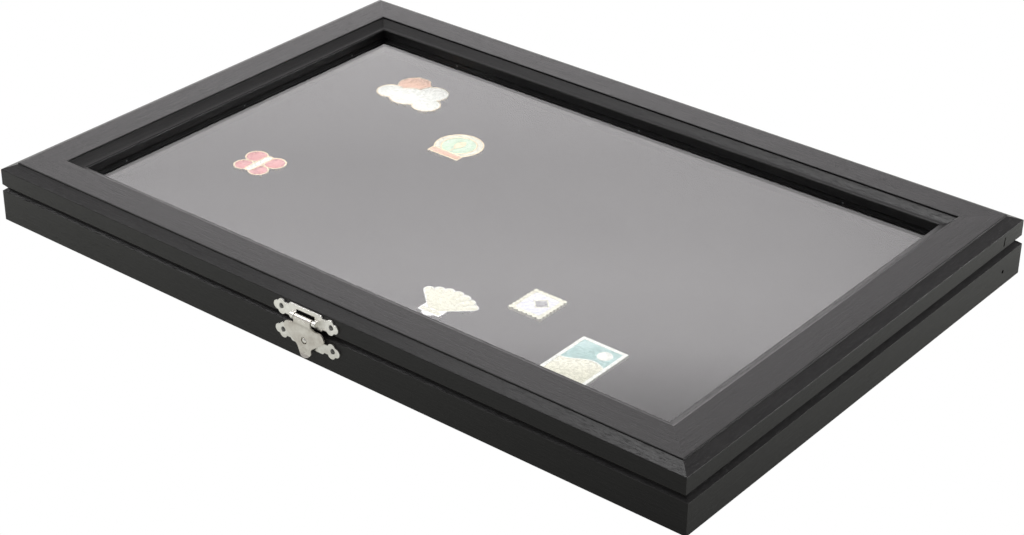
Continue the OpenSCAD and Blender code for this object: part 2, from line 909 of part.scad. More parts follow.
module pin_butterfly() {
    badge(badge_butterfly, gilt) {
        union() {
            wing_pair(0);
            butterfly_body(0);
        }
        union() {
            difference() {
                wing_pair(line_w);
                butterfly_body(0);
            }
            butterfly_body(line_w);
        }
    }
}

// Rib of the shell that fans out from its foot
module shell_rib(a, inset) {
    reach = 20.8;
    tip_r = 2.5;
    foot_y = 2 + inset;
    foot_half_w = 0.9 - inset * 0.6;
    rotate(a) {
        translate([0, reach - tip_r]) circle(r = tip_r - inset);
        polygon([
            [-foot_half_w, foot_y], [foot_half_w, foot_y],
            [tip_r - inset, reach - tip_r], [-tip_r + inset, reach - tip_r]
        ]);
    }
}

module pin_shell() {
    fan = [-42:14:42];
    foot = [0, -10.7];
    hinge_half_w = 5.9;
    hinge_y0 = -1.6;
    hinge_h = 5.9;
    hinge_cell_h = 2.4;
    knob_r = 3.7;
    badge(badge_shell, "#b9b9b4") {
        translate(foot) union() {
            for (a = fan) shell_rib(a, 0);
            translate([-hinge_half_w, hinge_y0]) square([2 * hinge_half_w, hinge_h]);
            circle(r = knob_r);
        }
        translate(foot) union() {
            for (a = fan) shell_rib(a, line_w * 0.55);
            translate([-hinge_half_w + line_w, hinge_y0 + line_w])
                square([2 * (hinge_half_w - line_w), hinge_cell_h]);
        }
    }
}

module pin_stamp() {
    size = [17.5, 19.4];
    holes_x = 7;
    holes_y = 8;
    hole_r = 0.62;
    border = 2.3;
    lozenge = [6.4, 6.4];
    lozenge_at = [1.2, 1];
    badge(badge_stamp, nickel) {
        difference() {
            square(size, center = true);
            for (i = [0:holes_x], s = [-1, 1])
                translate([(i / holes_x - 0.5) * size[0], s * size[1] / 2]) circle(r = hole_r, $fn = 24);
            for (i = [1:holes_y - 1], s = [-1, 1])
                translate([s * size[0] / 2, (i / holes_y - 0.5) * size[1]]) circle(r = hole_r, $fn = 24);
        }
        union() {
            difference() {
                square(size - 2 * [border, border], center = true);
                translate(lozenge_at) rotate(45) square(lozenge, center = true);
            }
            translate(lozenge_at) rotate(45)
                square(lozenge - 2 * [line_w, line_w], center = true);
        }
    }
}

// Hill line of the landscape pin, as a wave across the inner width
function hill_points(half, y, n = 24) = let (rise = 2.6, pace = 13, start = 40)
    [for (i = [0:n]) let (x = -half + 2 * half * i / n) [x, y + rise * sin(x * pace + start)]];

module pin_hills() {
    size = [23.2, 31.4];
    border = 1.7;
    inner = size - 2 * [border, border];
    half = inner[0] / 2;
    top = inner[1] / 2;
    sun_at = [4.6, 8.6];
    sun_r = 3.4;
    badge(badge_hills, "#d8d5cc") {
        square(size, center = true);
        union() {
            difference() {
                polygon(concat(hill_points(half, line_w / 2), [[half, top], [-half, top]]));
                translate(sun_at) circle(r = sun_r);
            }
            translate(sun_at) circle(r = sun_r - line_w);
            polygon(concat(hill_points(half, -line_w / 2), [[half, -top], [-half, -top]]));
        }
    }
}

module base_front_rail() { base_rail(front); }
module base_right_rail() { base_rail(right); }
module base_back_rail() { base_rail(back); }
module base_left_rail() { base_rail(left); }
module lid_front_rail() { lid_rail(front); }
module lid_right_rail() { lid_rail(right); }
module lid_back_rail() { lid_rail(back); }
module lid_left_rail() { lid_rail(left); }
module glass_strip_front() { glass_strip(front); }
module glass_strip_right() { glass_strip(right); }
module glass_strip_back() { glass_strip(back); }
module glass_strip_left() { glass_strip(left); }
module hinge_left_base_leaf() { hinge_leaf(-1, -1); }
module hinge_right_base_leaf() { hinge_leaf(1, -1); }
module hinge_left_lid_leaf() { hinge_leaf(-1, 1); }
module hinge_right_lid_leaf() { hinge_leaf(1, 1); }
module hinge_left_pin() { hinge_pin(-1); }
module hinge_right_pin() { hinge_pin(1); }

base_front_rail();
base_right_rail();
base_back_rail();
base_left_rail();
back_panel();
panel_brads();
base_corner_brads();
foam_pad();
felt_cover();
catch_plate();
catch_stud();
catch_nails();
hinge_left_base_leaf();
hinge_right_base_leaf();
hinge_left_pin();
hinge_right_pin();
base_leaf_screws();
pin_cloud();
pin_tulip();
pin_butterfly();
pin_shell();
pin_stamp();
pin_hills();
lid_front_rail();
lid_right_rail();
lid_back_rail();
lid_left_rail();
glass_pane();
glass_strip_front();
glass_strip_right();
glass_strip_back();
glass_strip_left();
glass_strip_brads();
lid_corner_brads();
strike_plate();
strike_nails();
hinge_left_lid_leaf();
hinge_right_lid_leaf();
lid_leaf_screws();
hasp();
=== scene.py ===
"""Looks of a pin display case: a black wooden frame, a hinged glass lid, a felt pad and a stamped latch."""

import logging
import math
from dataclasses import asdict, dataclass, field, fields
from enum import Enum
from typing import Callable, Iterable, Optional, Sequence, TypeVar, Union

import bmesh
import bpy
from mathutils import Matrix, Vector, noise
from mathutils.bvhtree import BVHTree


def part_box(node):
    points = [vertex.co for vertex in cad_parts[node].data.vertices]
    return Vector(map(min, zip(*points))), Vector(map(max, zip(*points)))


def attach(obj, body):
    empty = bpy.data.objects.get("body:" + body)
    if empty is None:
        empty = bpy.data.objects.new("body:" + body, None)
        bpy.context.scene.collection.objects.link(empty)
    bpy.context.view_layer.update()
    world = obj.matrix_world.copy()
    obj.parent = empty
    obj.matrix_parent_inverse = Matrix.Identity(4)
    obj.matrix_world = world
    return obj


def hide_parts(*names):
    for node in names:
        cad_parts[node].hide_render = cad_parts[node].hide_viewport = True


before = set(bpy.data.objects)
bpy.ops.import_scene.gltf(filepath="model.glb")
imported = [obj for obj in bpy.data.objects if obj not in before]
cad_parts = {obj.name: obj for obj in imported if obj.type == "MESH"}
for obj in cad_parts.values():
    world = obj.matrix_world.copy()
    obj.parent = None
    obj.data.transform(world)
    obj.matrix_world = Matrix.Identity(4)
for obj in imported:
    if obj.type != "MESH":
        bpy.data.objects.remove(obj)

log = logging.getLogger("pin_display_case")
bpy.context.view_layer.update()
NODES: dict[str, bpy.types.Object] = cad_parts

MM = 0.001
MERGE = 2e-6
CUT_SLACK = 1e-7
LEVEL = 0.999
FLAT_ANGLE = math.radians(0.6)
RAIL_CREASE = math.radians(15)
SHARP_ANGLE = math.radians(38)
SHEET_ANGLE = math.radians(50)

Thing = TypeVar("Thing")
Pair = tuple[float, float]
Point = tuple[float, float, float]
Colour = tuple[float, float, float]
Piece = bpy.types.Object
Material = bpy.types.Material
Socket = bpy.types.NodeSocket
BMesh = bmesh.types.BMesh
Edge = bmesh.types.BMEdge
Face = bmesh.types.BMFace
Value = Union[float, str, Sequence[float], Material, Socket]


class Body(Enum):
    """The three bodies that move against each other."""

    BASE = "base"
    LID = "lid"
    HASP = "hasp"


class Grain(Enum):
    """The direction that the grain of a piece of wood runs in."""

    ALONG_X = "x"
    ALONG_Y = "y"


class Side(Enum):
    """The four sides of a frame, as they are named in the CAD nodes."""

    FRONT = "front"
    RIGHT = "right"
    BACK = "back"
    LEFT = "left"

    @property
    def grain(self) -> Grain:
        """The grain of a rail on this side, which runs along it."""
        return Grain.ALONG_X if self in (Side.FRONT, Side.BACK) else Grain.ALONG_Y


class Tree:
    """A node tree, with short calls for the nodes that it uses."""

    def __init__(self, tree: bpy.types.NodeTree) -> None:
        """Takes a tree."""
        self.tree = tree

    def node(
        self, kind: str, inputs: Optional[dict[Union[str, int], Value]] = None, **settings: Value
    ) -> bpy.types.Node:
        """Adds a node.

        Args:
            kind: Blender's name for the type of node.
            inputs: The names or numbers of its inputs, each with a value or an output to link.
            settings: Properties of the node and their values.

        Returns:
            The new node.
        """
        made = self.tree.nodes.new(kind)
        for key, value in settings.items():
            setattr(made, key, value)
        for key, value in (inputs or {}).items():
            self.feed(made.inputs[key], value)
        return made

    def feed(self, socket: Socket, value: Value) -> None:
        """Links an output to an input, or sets the input.

        Args:
            socket: The input.
            value: What it gets.
        """
        if isinstance(value, Socket):
            self.tree.links.new(value, socket)
        else:
            socket.default_value = value

    def maths(self, operation: str, a: Value, b: Value = 0.0) -> Socket:
        """What an operation makes of one or two numbers or outputs."""
        return self.node("ShaderNodeMath", {0: a, 1: b}, operation=operation).outputs[0]

    def parts(self, vector: Socket) -> list[Socket]:
        """The three parts of a vector."""
        return list(self.node("ShaderNodeSeparateXYZ", {0: vector}).outputs)


class ShadeTree(Tree):
    """The tree of a material or of the world."""

    def __init__(self, owner: Union[Material, bpy.types.World]) -> None:
        """Empties the owner's tree."""
        owner.use_nodes = True
        super().__init__(owner.node_tree)
        self.tree.nodes.clear()

    def places(self, pitch: Union[float, Point] = 1) -> Socket:
        """Object coordinates with so many pattern units a metre, along all axes or along each."""
        scale = pitch if isinstance(pitch, tuple) else (pitch,) * 3
        source = self.node("ShaderNodeTexCoord").outputs["Object"]
        return self.node("ShaderNodeMapping", {"Vector": source, "Scale": scale}).outputs["Vector"]

    def noise(self, pitch: Union[float, Point], detail: float = 3, roughness: float = 0.5) -> Socket:
        """Soft noise from 0 to 1, with the count and the strength of its finer layers."""
        inputs = {"Vector": self.places(pitch), "Scale": 1, "Detail": detail, "Roughness": roughness}
        return self.node("ShaderNodeTexNoise", inputs).outputs["Fac"]

    def spread(
        self, value: Socket, low: float, high: float, start: float = 0.3, end: float = 0.7, **settings: str
    ) -> Socket:
        """Maps a value from start..end to low..high, held at both ends."""
        inputs = {"Value": value, "From Min": start, "From Max": end, "To Min": low, "To Max": high}
        return self.node("ShaderNodeMapRange", inputs, **settings).outputs["Result"]

    def step(self, value: Socket, start: float, end: float, high: float = 1.0) -> Socket:
        """A smooth step from 0 at start to a level at end."""
        return self.spread(value, 0, high, start, end, interpolation_type="SMOOTHSTEP")

    def shades(self, value: Socket, *stops: tuple[float, Colour]) -> Socket:
        """Colours that follow a value.

        Args:
            value: The value to follow.
            stops: Rising places from 0 to 1 with their colours.

        Returns:
            The colour output.
        """
        ramp = self.node("ShaderNodeValToRGB", {"Fac": value})
        elements = ramp.color_ramp.elements
        while len(elements) < len(stops):
            elements.new(1)
        for element, (place, colour) in zip(elements, stops):
            element.position = place
            element.color = (*colour, 1)
        return ramp.outputs["Color"]

    def sum_of(self, a: Socket, b: Socket, share: float) -> Socket:
        """The first value plus a share of the second."""
        return self.node("ShaderNodeMath", {0: b, 1: share, 2: a}, operation="MULTIPLY_ADD").outputs[0]

    def bumps(self, *layers: tuple[Socket, float, float]) -> Socket:
        """Bumps laid over each other.

        Args:
            layers: The height, the full depth in mm and the strength of each, the lowest first.

        Returns:
            The normal output.
        """
        under = {}
        for height, depth, strength in layers:
            inputs = {"Height": height, "Distance": depth * MM, "Strength": strength, **under}
            under = {"Normal": self.node("ShaderNodeBump", inputs).outputs["Normal"]}
        return under["Normal"]

    def surface(self, **inputs: Value) -> Socket:
        """The Principled shader, with underscores for the spaces in the names of its inputs."""
        named = {key.replace("_", " "): value for key, value in inputs.items()}
        return self.node("ShaderNodeBsdfPrincipled", named).outputs[0]

    def by_ray(self, ray: str, shader: Socket, seen: Socket) -> Socket:
        """A shader, with another one in its place for one kind of ray."""
        chosen = self.node("ShaderNodeLightPath").outputs[ray]
        return self.node("ShaderNodeMixShader", {"Fac": chosen, 1: shader, 2: seen}).outputs[0]

    def finish(self, kind: str, shader: Socket) -> None:
        """Joins the shader to the output of a material or a world."""
        self.node(f"ShaderNodeOutput{kind}", {"Surface": shader})


@dataclass(frozen=True)
class Finish:
    """What a surface is finished with.

    Args:
        name: The material's name.
    """

    name: str

    def material(self) -> Material:
        """The finish's material, made when it is first asked for.

        Returns:
            The material.
        """
        found = bpy.data.materials.get(self.name)
        if not found:
            found = bpy.data.materials.new(self.name)
            tree = ShadeTree(found)
            tree.finish("Material", self.shader(tree))
        return found

    def shader(self, tree: ShadeTree) -> Socket:
        """Builds the finish's shader in its material's tree."""
        raise NotImplementedError


@dataclass(frozen=True)
class BlackLacquer(Finish):
    """Satin black lacquer over open-grained wood.

    Args:
        grain: The direction of the grain.
        dark: The colour in the dark streaks.
        light: The colour in the light streaks.
    """

    grain: Grain
    dark: Colour = (0.0055, 0.0053, 0.0055)
    light: Colour = (0.0125, 0.0119, 0.0120)

    def pitch(self, along: float, across: float) -> Point:
        """A pattern's pitch along and across the grain, as one for each axis."""
        return (along, across, across) if self.grain is Grain.ALONG_X else (across, along, across)

    def shader(self, tree: ShadeTree) -> Socket:
        """Streaks, pores and a fine orange peel, in colour, roughness and bump.

        Args:
            tree: The material's tree.

        Returns:
            The shader.
        """
        streaks = tree.noise(self.pitch(along=70, across=1100), detail=4, roughness=0.6)
        pores = tree.noise(self.pitch(along=260, across=4200), detail=2)
        peel = tree.noise(950, detail=2)
        tone = tree.sum_of(streaks, tree.noise(14), 0.35)
        pits = tree.spread(pores, 1, 0, 0.56, 0.72)
        shine = tree.sum_of(tree.spread(streaks, 0.33, 0.43), tree.spread(pores, 0, 1, 0.58, 0.7), 0.14)
        return tree.surface(
            Base_Color=tree.shades(tone, (0.45, self.dark), (0.9, self.light)),
            Roughness=shine,
            Specular_IOR_Level=0.27,
            IOR=1.5,
            Normal=tree.bumps((streaks, 0.09, 1), (pits, 0.04, 1), (peel, 0.03, 1)),
        )


@dataclass(frozen=True)
class SheetMetal(Finish):
    """Plated sheet metal or wire with soft tumbling marks.

    Args:
        dull: The colour in the dull patches.
        bright: The colour in the bright patches.
        smooth: The lowest roughness.
        rough: The highest roughness.
    """

    dull: Colour
    bright: Colour
    smooth: float
    rough: float

    def shader(self, tree: ShadeTree) -> Socket:
        """Patches and small dents in colour, roughness and bump.

        Args:
            tree: The material's tree.

        Returns:
            The shader.
        """
        patches = tree.noise(240, detail=4, roughness=0.6)
        dents = tree.noise(1500)
        shine = tree.sum_of(tree.spread(patches, self.rough, self.smooth), tree.spread(dents, 0, 1), 0.08)
        return tree.surface(
            Base_Color=tree.shades(patches, (0.35, self.dull), (0.65, self.bright)),
            Metallic=1.0,
            Roughness=shine,
            Normal=tree.bumps((patches, 0.06, 0.35), (dents, 0.02, 0.4)),
        )


@dataclass(frozen=True)
class FiredEnamel(Finish):
    """Smooth coloured enamel with a faint mottle.

    Args:
        colour: Its main colour.
    """

    colour: Colour

    def shader(self, tree: ShadeTree) -> Socket:
        """Mottled colour, a little ripple and a clear coat.

        Args:
            tree: The material's tree.

        Returns:
            The shader.
        """
        mottle = tree.noise(700)
        paler = tuple(min(1.0, c * 1.06 + 0.01) for c in self.colour)
        deeper = tuple(c * 0.9 for c in self.colour)
        return tree.surface(
            Base_Color=tree.shades(mottle, (0.35, deeper), (0.65, paler)),
            Roughness=tree.spread(mottle, 0.22, 0.34),
            Normal=tree.bumps((mottle, 0.03, 0.4)),
            Coat_Weight=0.3,
        )


@dataclass(frozen=True)
class Felt(Finish):
    """Short black pile that catches a little light at low angles."""

    def shader(self, tree: ShadeTree) -> Socket:
        """Matted fibres in colour and bump, with a faint sheen.

        Args:
            tree: The material's tree.

        Returns:
            The shader.
        """
        fibres = tree.noise(1900, detail=5, roughness=0.75)
        tufts = tree.noise(160)
        tone = tree.sum_of(fibres, tufts, 0.4)
        return tree.surface(
            Base_Color=tree.shades(tone, (0.5, (0.0026, 0.0026, 0.0028)), (0.95, (0.0062, 0.0061, 0.0065))),
            Roughness=0.95,
            Specular_IOR_Level=0.01,
            Sheen_Weight=0.01,
            Sheen_Roughness=0.6,
            Normal=tree.bumps((tufts, 0.05, 0.06), (fibres, 0.03, 0.08)),
        )


@dataclass(frozen=True)
class Foam(Finish):
    """Dark closed-cell foam."""

    def shader(self, tree: ShadeTree) -> Socket:
        """Small round cells in colour and bump.

        Args:
            tree: The material's tree.

        Returns:
            The shader.
        """
        inputs = {"Vector": tree.places(1400), "Scale": 1}
        cells = tree.node("ShaderNodeTexVoronoi", inputs, feature="F1").outputs["Distance"]
        return tree.surface(
            Base_Color=tree.shades(cells, (0.1, (0.02, 0.02, 0.022)), (0.7, (0.05, 0.05, 0.054))),
            Roughness=0.9,
            Normal=tree.bumps((cells, 0.2, 0.6)),
        )


@dataclass(frozen=True)
class Hardboard(Finish):
    """Brown board of pressed wood fibre."""

    def shader(self, tree: ShadeTree) -> Socket:
        """Short fibres that lie every way, in colour and bump.

        Args:
            tree: The material's tree.

        Returns:
            The shader.
        """
        fibres_x = tree.noise((220, 1600, 900), detail=4, roughness=0.7)
        fibres_y = tree.noise((1500, 260, 900), detail=4, roughness=0.7)
        tone = tree.sum_of(tree.spread(fibres_x, 0, 0.6), fibres_y, 0.4)
        browns = (0.1, (0.075, 0.042, 0.022)), (0.5, (0.135, 0.080, 0.044)), (0.85, (0.21, 0.135, 0.08))
        return tree.surface(
            Base_Color=tree.shades(tone, *browns),
            Roughness=tree.spread(tone, 0.5, 0.68, 0, 1),
            Normal=tree.bumps((tone, 0.08, 0.5)),
        )


@dataclass(frozen=True)
class WindowGlass(Finish):
    """Clear float glass that lets lamps through.

    Args:
        roughness: How rough its surface is.
    """

    roughness: float = 0.0

    def shader(self, tree: ShadeTree) -> Socket:
        """Glass with a faintly uneven tint, open to rays from lamps.

        Args:
            tree: The material's tree.

        Returns:
            The shader.
        """
        smears = tree.noise((9, 14, 9), detail=4, roughness=0.6)
        glass = tree.surface(
            Base_Color=tree.shades(smears, (0.4, (0.97, 0.975, 0.972)), (0.6, (0.985, 0.99, 0.987))),
            Roughness=self.roughness,
            IOR=1.5,
            Transmission_Weight=1.0,
        )
        clear = tree.node("ShaderNodeBsdfTransparent", {"Color": (0.9, 0.92, 0.91, 1)})
        return tree.by_ray("Is Shadow Ray", glass, clear.outputs[0])


@dataclass(frozen=True)
class GlowingFloor(Finish):
    """Paper whose glow is painted light, brighter further from the camera and dimmed beside the case as a
    painted contact shadow, and plain white to the camera itself.

    Args:
        foot: The point of the floor that the camera stands over.
        near: A distance from that point, in metres, and the floor's radiance there.
        far: A greater distance and the radiance there.
        side: The x where the case's right side starts to reflect the floor, and where it fully does.
        side_gain: How much brighter the painted glow is beyond that.
        case: Half the case's width and depth.
        contact_shadow: Factors on the glow beside the case and away from it, which paint a contact shadow.
        contact_reach: The distances from the case where those hold.
    """

    foot: Point = (0.75, -0.45, 0.0)
    near: Pair = (0.638, 0.34)
    far: Pair = (0.988, 0.86)
    side: Pair = (0.185, 0.215)
    side_gain: float = 0.12
    case: Pair = (0.19, 0.129)
    contact_shadow: Pair = (0.94, 1.2)
    contact_reach: Pair = (0.012, 0.038)

    def shader(self, tree: ShadeTree) -> Socket:
        """White with a faint tooth, and a painted glow that grows with distance, is brighter to the right and
        dims beside the case as a painted contact shadow.

        Args:
            tree: The material's tree.

        Returns:
            The shader.
        """
        place = tree.places()
        reach = tree.node("ShaderNodeVectorMath", {0: place, 1: self.foot}, operation="DISTANCE")
        (near, dim), (far, bright) = self.near, self.far
        glow = tree.spread(reach.outputs["Value"], dim, bright, near, far)
        x, y, _ = tree.parts(place)
        # Painted light: a brighter band of glow to the right of the case.
        glow = tree.sum_of(glow, tree.spread(x, 0, 1, *self.side), self.side_gain)
        # Painted contact shadow: the glow dims close beside the case.
        spans = [tree.maths("ABSOLUTE", part) for part in (x, y)]
        gaps = [tree.maths("SUBTRACT", span, half) for span, half in zip(spans, self.case)]
        beside = tree.spread(tree.maths("MAXIMUM", *gaps), *self.contact_shadow, *self.contact_reach)
        paper = tree.surface(
            Base_Color=tree.shades(tree.noise(60), (0.3, (0.04,) * 3), (0.7, (0.05,) * 3)),
            Roughness=0.9,
            Specular_IOR_Level=0.1,
            Emission_Color=(0.99, 1.0, 0.945, 1),
            Emission_Strength=tree.maths("MULTIPLY", glow, beside),
        )
        return tree.by_ray("Is Camera Ray", paper, tree.node("ShaderNodeEmission").outputs[0])


# The softened arrises get a lighter lacquer: partly edge wear, partly a painted highlight along each edge.
WORN_AND_HIGHLIT = (0.026, 0.025, 0.025), (0.062, 0.060, 0.059)
LACQUER = {
    Grain.ALONG_X: [
        BlackLacquer("black_lacquer_long_rails", Grain.ALONG_X),
        BlackLacquer("worn_and_highlit_arris_long_rails", Grain.ALONG_X, *WORN_AND_HIGHLIT),
    ],
    Grain.ALONG_Y: [
        BlackLacquer("black_lacquer_short_rails", Grain.ALONG_Y),
        BlackLacquer("worn_and_highlit_arris_short_rails", Grain.ALONG_Y, *WORN_AND_HIGHLIT),
    ],
}
NICKEL = SheetMetal("tumbled_nickel", (0.64, 0.605, 0.555), (0.80, 0.775, 0.725), 0.26, 0.42)
BRIGHT_NICKEL = SheetMetal("bright_nickel", (0.77, 0.755, 0.71), (0.92, 0.91, 0.87), 0.24, 0.38)
# The rolled rims of the sheet metal get a paler nickel: a painted highlight along each edge.
NICKEL_EDGE_HIGHLIGHT = SheetMetal("painted_highlight_nickel_edge", (0.82, 0.805, 0.77), (0.93, 0.92, 0.89), 0.16, 0.28)
# The latch nails are near black: painted shade for the countersunk holes that their heads sit in.
SHADE_DARKENED_NAIL_STEEL = SheetMetal("shade_darkened_nail_steel", (0.06, 0.06, 0.058), (0.16, 0.16, 0.155), 0.24, 0.38)
STEEL = SheetMetal("steel_wire", (0.3, 0.3, 0.31), (0.5, 0.5, 0.51), 0.28, 0.45)
GILT = SheetMetal("gilt_plate", (0.60, 0.47, 0.27), (0.80, 0.68, 0.45), 0.16, 0.28)
SILVER = SheetMetal("silver_plate", (0.62, 0.62, 0.61), (0.80, 0.80, 0.79), 0.16, 0.28)
FELT = Felt("black_felt")
FOAM = Foam("dark_foam")
HARDBOARD = Hardboard("pressed_hardboard")
GLASS = WindowGlass("window_glass")
GLASS_EDGE = WindowGlass("ground_glass_edge", 0.4)
PAPER = GlowingFloor("glowing_paper")


class Tone(Enum):
    """The enamels, each with its record slot and colour."""

    WHITE = ("enamel_white", (0.5, 0.5, 0.46))
    CREAM = ("enamel_cream", (0.42, 0.4, 0.3))
    PEACH = ("enamel_peach", (0.42, 0.19, 0.09))
    ROSE = ("enamel_rose", (0.42, 0.1, 0.1))
    GREEN = ("enamel_green", (0.3, 0.42, 0.28))
    TEAL = ("enamel_teal", (0.15, 0.28, 0.27))
    LAVENDER = ("enamel_lavender", (0.42, 0.41, 0.48))
    GREY = ("enamel_grey", (0.09, 0.085, 0.1))

    @property
    def slot(self) -> str:
        """The record's material slot."""
        return self.value[0]

    @property
    def finish(self) -> FiredEnamel:
        """The enamel's finish."""
        return FiredEnamel(*self.value)


def islands(things: Iterable[Thing], near: Callable[[Thing], Iterable[Thing]]) -> list[list[Thing]]:
    """Groups things that touch.

    Args:
        things: The things.
        near: Gives the neighbours of a thing.

    Returns:
        The groups.
    """
    left = dict.fromkeys(things)
    groups = []
    while left:
        group = [left.popitem()[0]]
        for thing in group:
            for other in near(thing):
                if other in left:
                    del left[other]
                    group.append(other)
        groups.append(group)
    return groups


def joined_copy(node: str, merge_flats: bool = True) -> BMesh:
    """Copies a CAD node's mesh and joins its loose triangles.

    Args:
        node: The CAD node's name.
        merge_flats: True to merge the triangles of each flat face into one.

    Returns:
        The copy, which the caller frees.
    """
    bm = bmesh.new()
    bm.from_mesh(NODES[node].data)
    bmesh.ops.remove_doubles(bm, verts=bm.verts, dist=MERGE)
    if merge_flats:
        bmesh.ops.dissolve_limit(bm, angle_limit=FLAT_ANGLE, verts=bm.verts, edges=bm.edges)
    return bm


def add_object(name: str, data: bpy.types.ID) -> Piece:
    """Makes an object at the origin and puts it into the scene.

    Args:
        name: Its name.
        data: Its mesh, lamp or camera.

    Returns:
        The new object.
    """
    made = bpy.data.objects.new(name, data)
    bpy.context.scene.collection.objects.link(made)
    return made


def new_object(name: str, bm: BMesh, finishes: Iterable[Finish] = ()) -> Piece:
    """Makes an object from a bmesh, which it frees.

    Args:
        name: The piece's name.
        bm: Its mesh, in the row frame.
        finishes: The finishes of its material slots.

    Returns:
        The new object.
    """
    mesh = bpy.data.meshes.new(name)
    bm.to_mesh(mesh)
    bm.free()
    for finish in finishes:
        mesh.materials.append(finish.material())
    return add_object(name, mesh)


def settle(piece: Piece) -> Piece:
    """Turns what a piece's modifiers make into its plain mesh, and removes them.

    Args:
        piece: The piece.

    Returns:
        The same piece.
    """
    graph = bpy.context.evaluated_depsgraph_get()
    made = piece.evaluated_get(graph)
    plain = bpy.data.meshes.new_from_object(made, preserve_all_data_layers=True, depsgraph=graph)
    old = piece.data
    piece.modifiers.clear()
    piece.data = plain
    plain.name = piece.name
    bpy.data.meshes.remove(old)
    return piece


def smooth(piece: Piece, angle: float = SHARP_ANGLE) -> Piece:
    """Shades a piece smooth.

    Args:
        piece: The piece.
        angle: Edges that turn more than this stay sharp.

    Returns:
        The same piece.
    """
    piece.data.shade_smooth()
    piece.data.set_sharp_from_angle(angle=angle)
    return piece


def hand_over(piece: Piece, body: Body, stands_for: Sequence[str] = ()) -> Piece:
    """Fixes a piece to its body and hides the CAD nodes that it stands for.

    Args:
        piece: The finished piece.
        body: The body that it rides on.
        stands_for: The CAD nodes that it replaces.

    Returns:
        The piece.
    """
    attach(piece, body.value)
    if stands_for:
        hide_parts(*stands_for)
    log.info("%s rides on %s", piece.name, body.value)
    return piece


@dataclass(frozen=True)
class Softening:
    """How the edges of a solid are softened.

    Args:
        width: The width of the softened edge, in metres.
        steps: How many facets round it has.
        least_turn: Edges that turn less than this stay as they are.
        least_length: Shorter edges stay sharp, apart from fine ones.
        fine: A test for edges of any length that get only a share of the width.
        fine_share: That share.
        crease: Edges that turn more than this stay sharp in the shading.
    """

    width: float
    steps: int = 2
    least_turn: float = math.radians(32)
    least_length: float = 0.0
    fine: Optional[Callable[[Edge], bool]] = None
    fine_share: float = 0.2
    crease: float = SHARP_ANGLE

    def share(self, edge: Edge) -> float:
        """The share of the width that an edge gets.

        Args:
            edge: The edge.

        Returns:
            A number from 0 to 1.
        """
        if len(edge.link_faces) != 2 or edge.calc_face_angle(0) < self.least_turn:
            return 0.0
        if self.fine and self.fine(edge):
            return self.fine_share
        return float(edge.calc_length() >= self.least_length)

    def apply(self, name: str, bm: BMesh, finishes: Sequence[Finish]) -> Piece:
        """Makes an object with softened edges.

        Args:
            name: The piece's name.
            bm: Its joined mesh, which is freed.
            finishes: Its finish, and if there is a second one, that of the softened edges.

        Returns:
            The new object, with a plain mesh.
        """
        weights = bm.edges.layers.float.new("bevel_weight_edge")
        for edge in bm.edges:
            edge[weights] = self.share(edge)
        piece = smooth(new_object(name, bm, finishes), self.crease)
        bevel = piece.modifiers.new("soften", "BEVEL")
        bevel.limit_method = "WEIGHT"
        bevel.width = self.width
        bevel.segments = self.steps
        bevel.harden_normals = True
        bevel.use_clamp_overlap = True
        # The softened edges take the second finish where there is one: on the rails partly edge wear and
        # partly a painted highlight, on the sheet metal a painted highlight.
        bevel.material = 1 if len(finishes) > 1 else -1
        piece.modifiers.new("even_shading", "WEIGHTED_NORMAL").keep_sharp = True
        return settle(piece)

    def dress(
        self, name: str, node: str, body: Body, slot: str,
        finishes: Sequence[Finish], bm: Optional[BMesh] = None,
    ) -> Piece:
        """Makes the piece that stands for a CAD node, softened, on its body."""
        return hand_over(self.apply(name, bm or joined_copy(node), finishes), body, [node])


@dataclass(frozen=True)
class Land:
    """A nearly level land along the foot of a moulding's slope.

    Args:
        start: How far in from the rail's outer face the slope starts.
        turn: How far in the slope gives way to the land.
        end: How far in the land ends.
        depth: How far the turn lies under a plain chamfer.
        over: The height over which it lies.
    """

    start: float = 21.55 * MM
    turn: float = 24.55 * MM
    end: float = 26.6 * MM
    depth: float = 0.8 * MM
    over: float = 25.4 * MM

    def shape(self, bm: BMesh, side: Side, outer: float) -> None:
        """Cuts the land's two edges along a rail and lowers the turn.

        Args:
            bm: The rail's joined mesh.
            side: The side that the rail is on.
            outer: Where its outer face is, across the rail.
        """
        across = 1 if side.grain is Grain.ALONG_X else 0
        inward = -math.copysign(1, outer)
        for reach in (self.turn, self.end):
            place, normal = Vector(), Vector()
            normal[across] = 1
            place[across] = outer + inward * reach
            geometry = [*bm.verts, *bm.edges, *bm.faces]
            bmesh.ops.bisect_plane(bm, geom=geometry, dist=CUT_SLACK, plane_co=place, plane_no=normal)
        for vert in bm.verts:
            reach = (vert.co[across] - outer) * inward
            fall = (reach - self.start) / (self.turn - self.start)
            rise = (self.end - reach) / (self.end - self.turn)
            if min(fall, rise) > 0 and vert.co.z > self.over:
                vert.co.z -= self.depth * min(fall, rise)


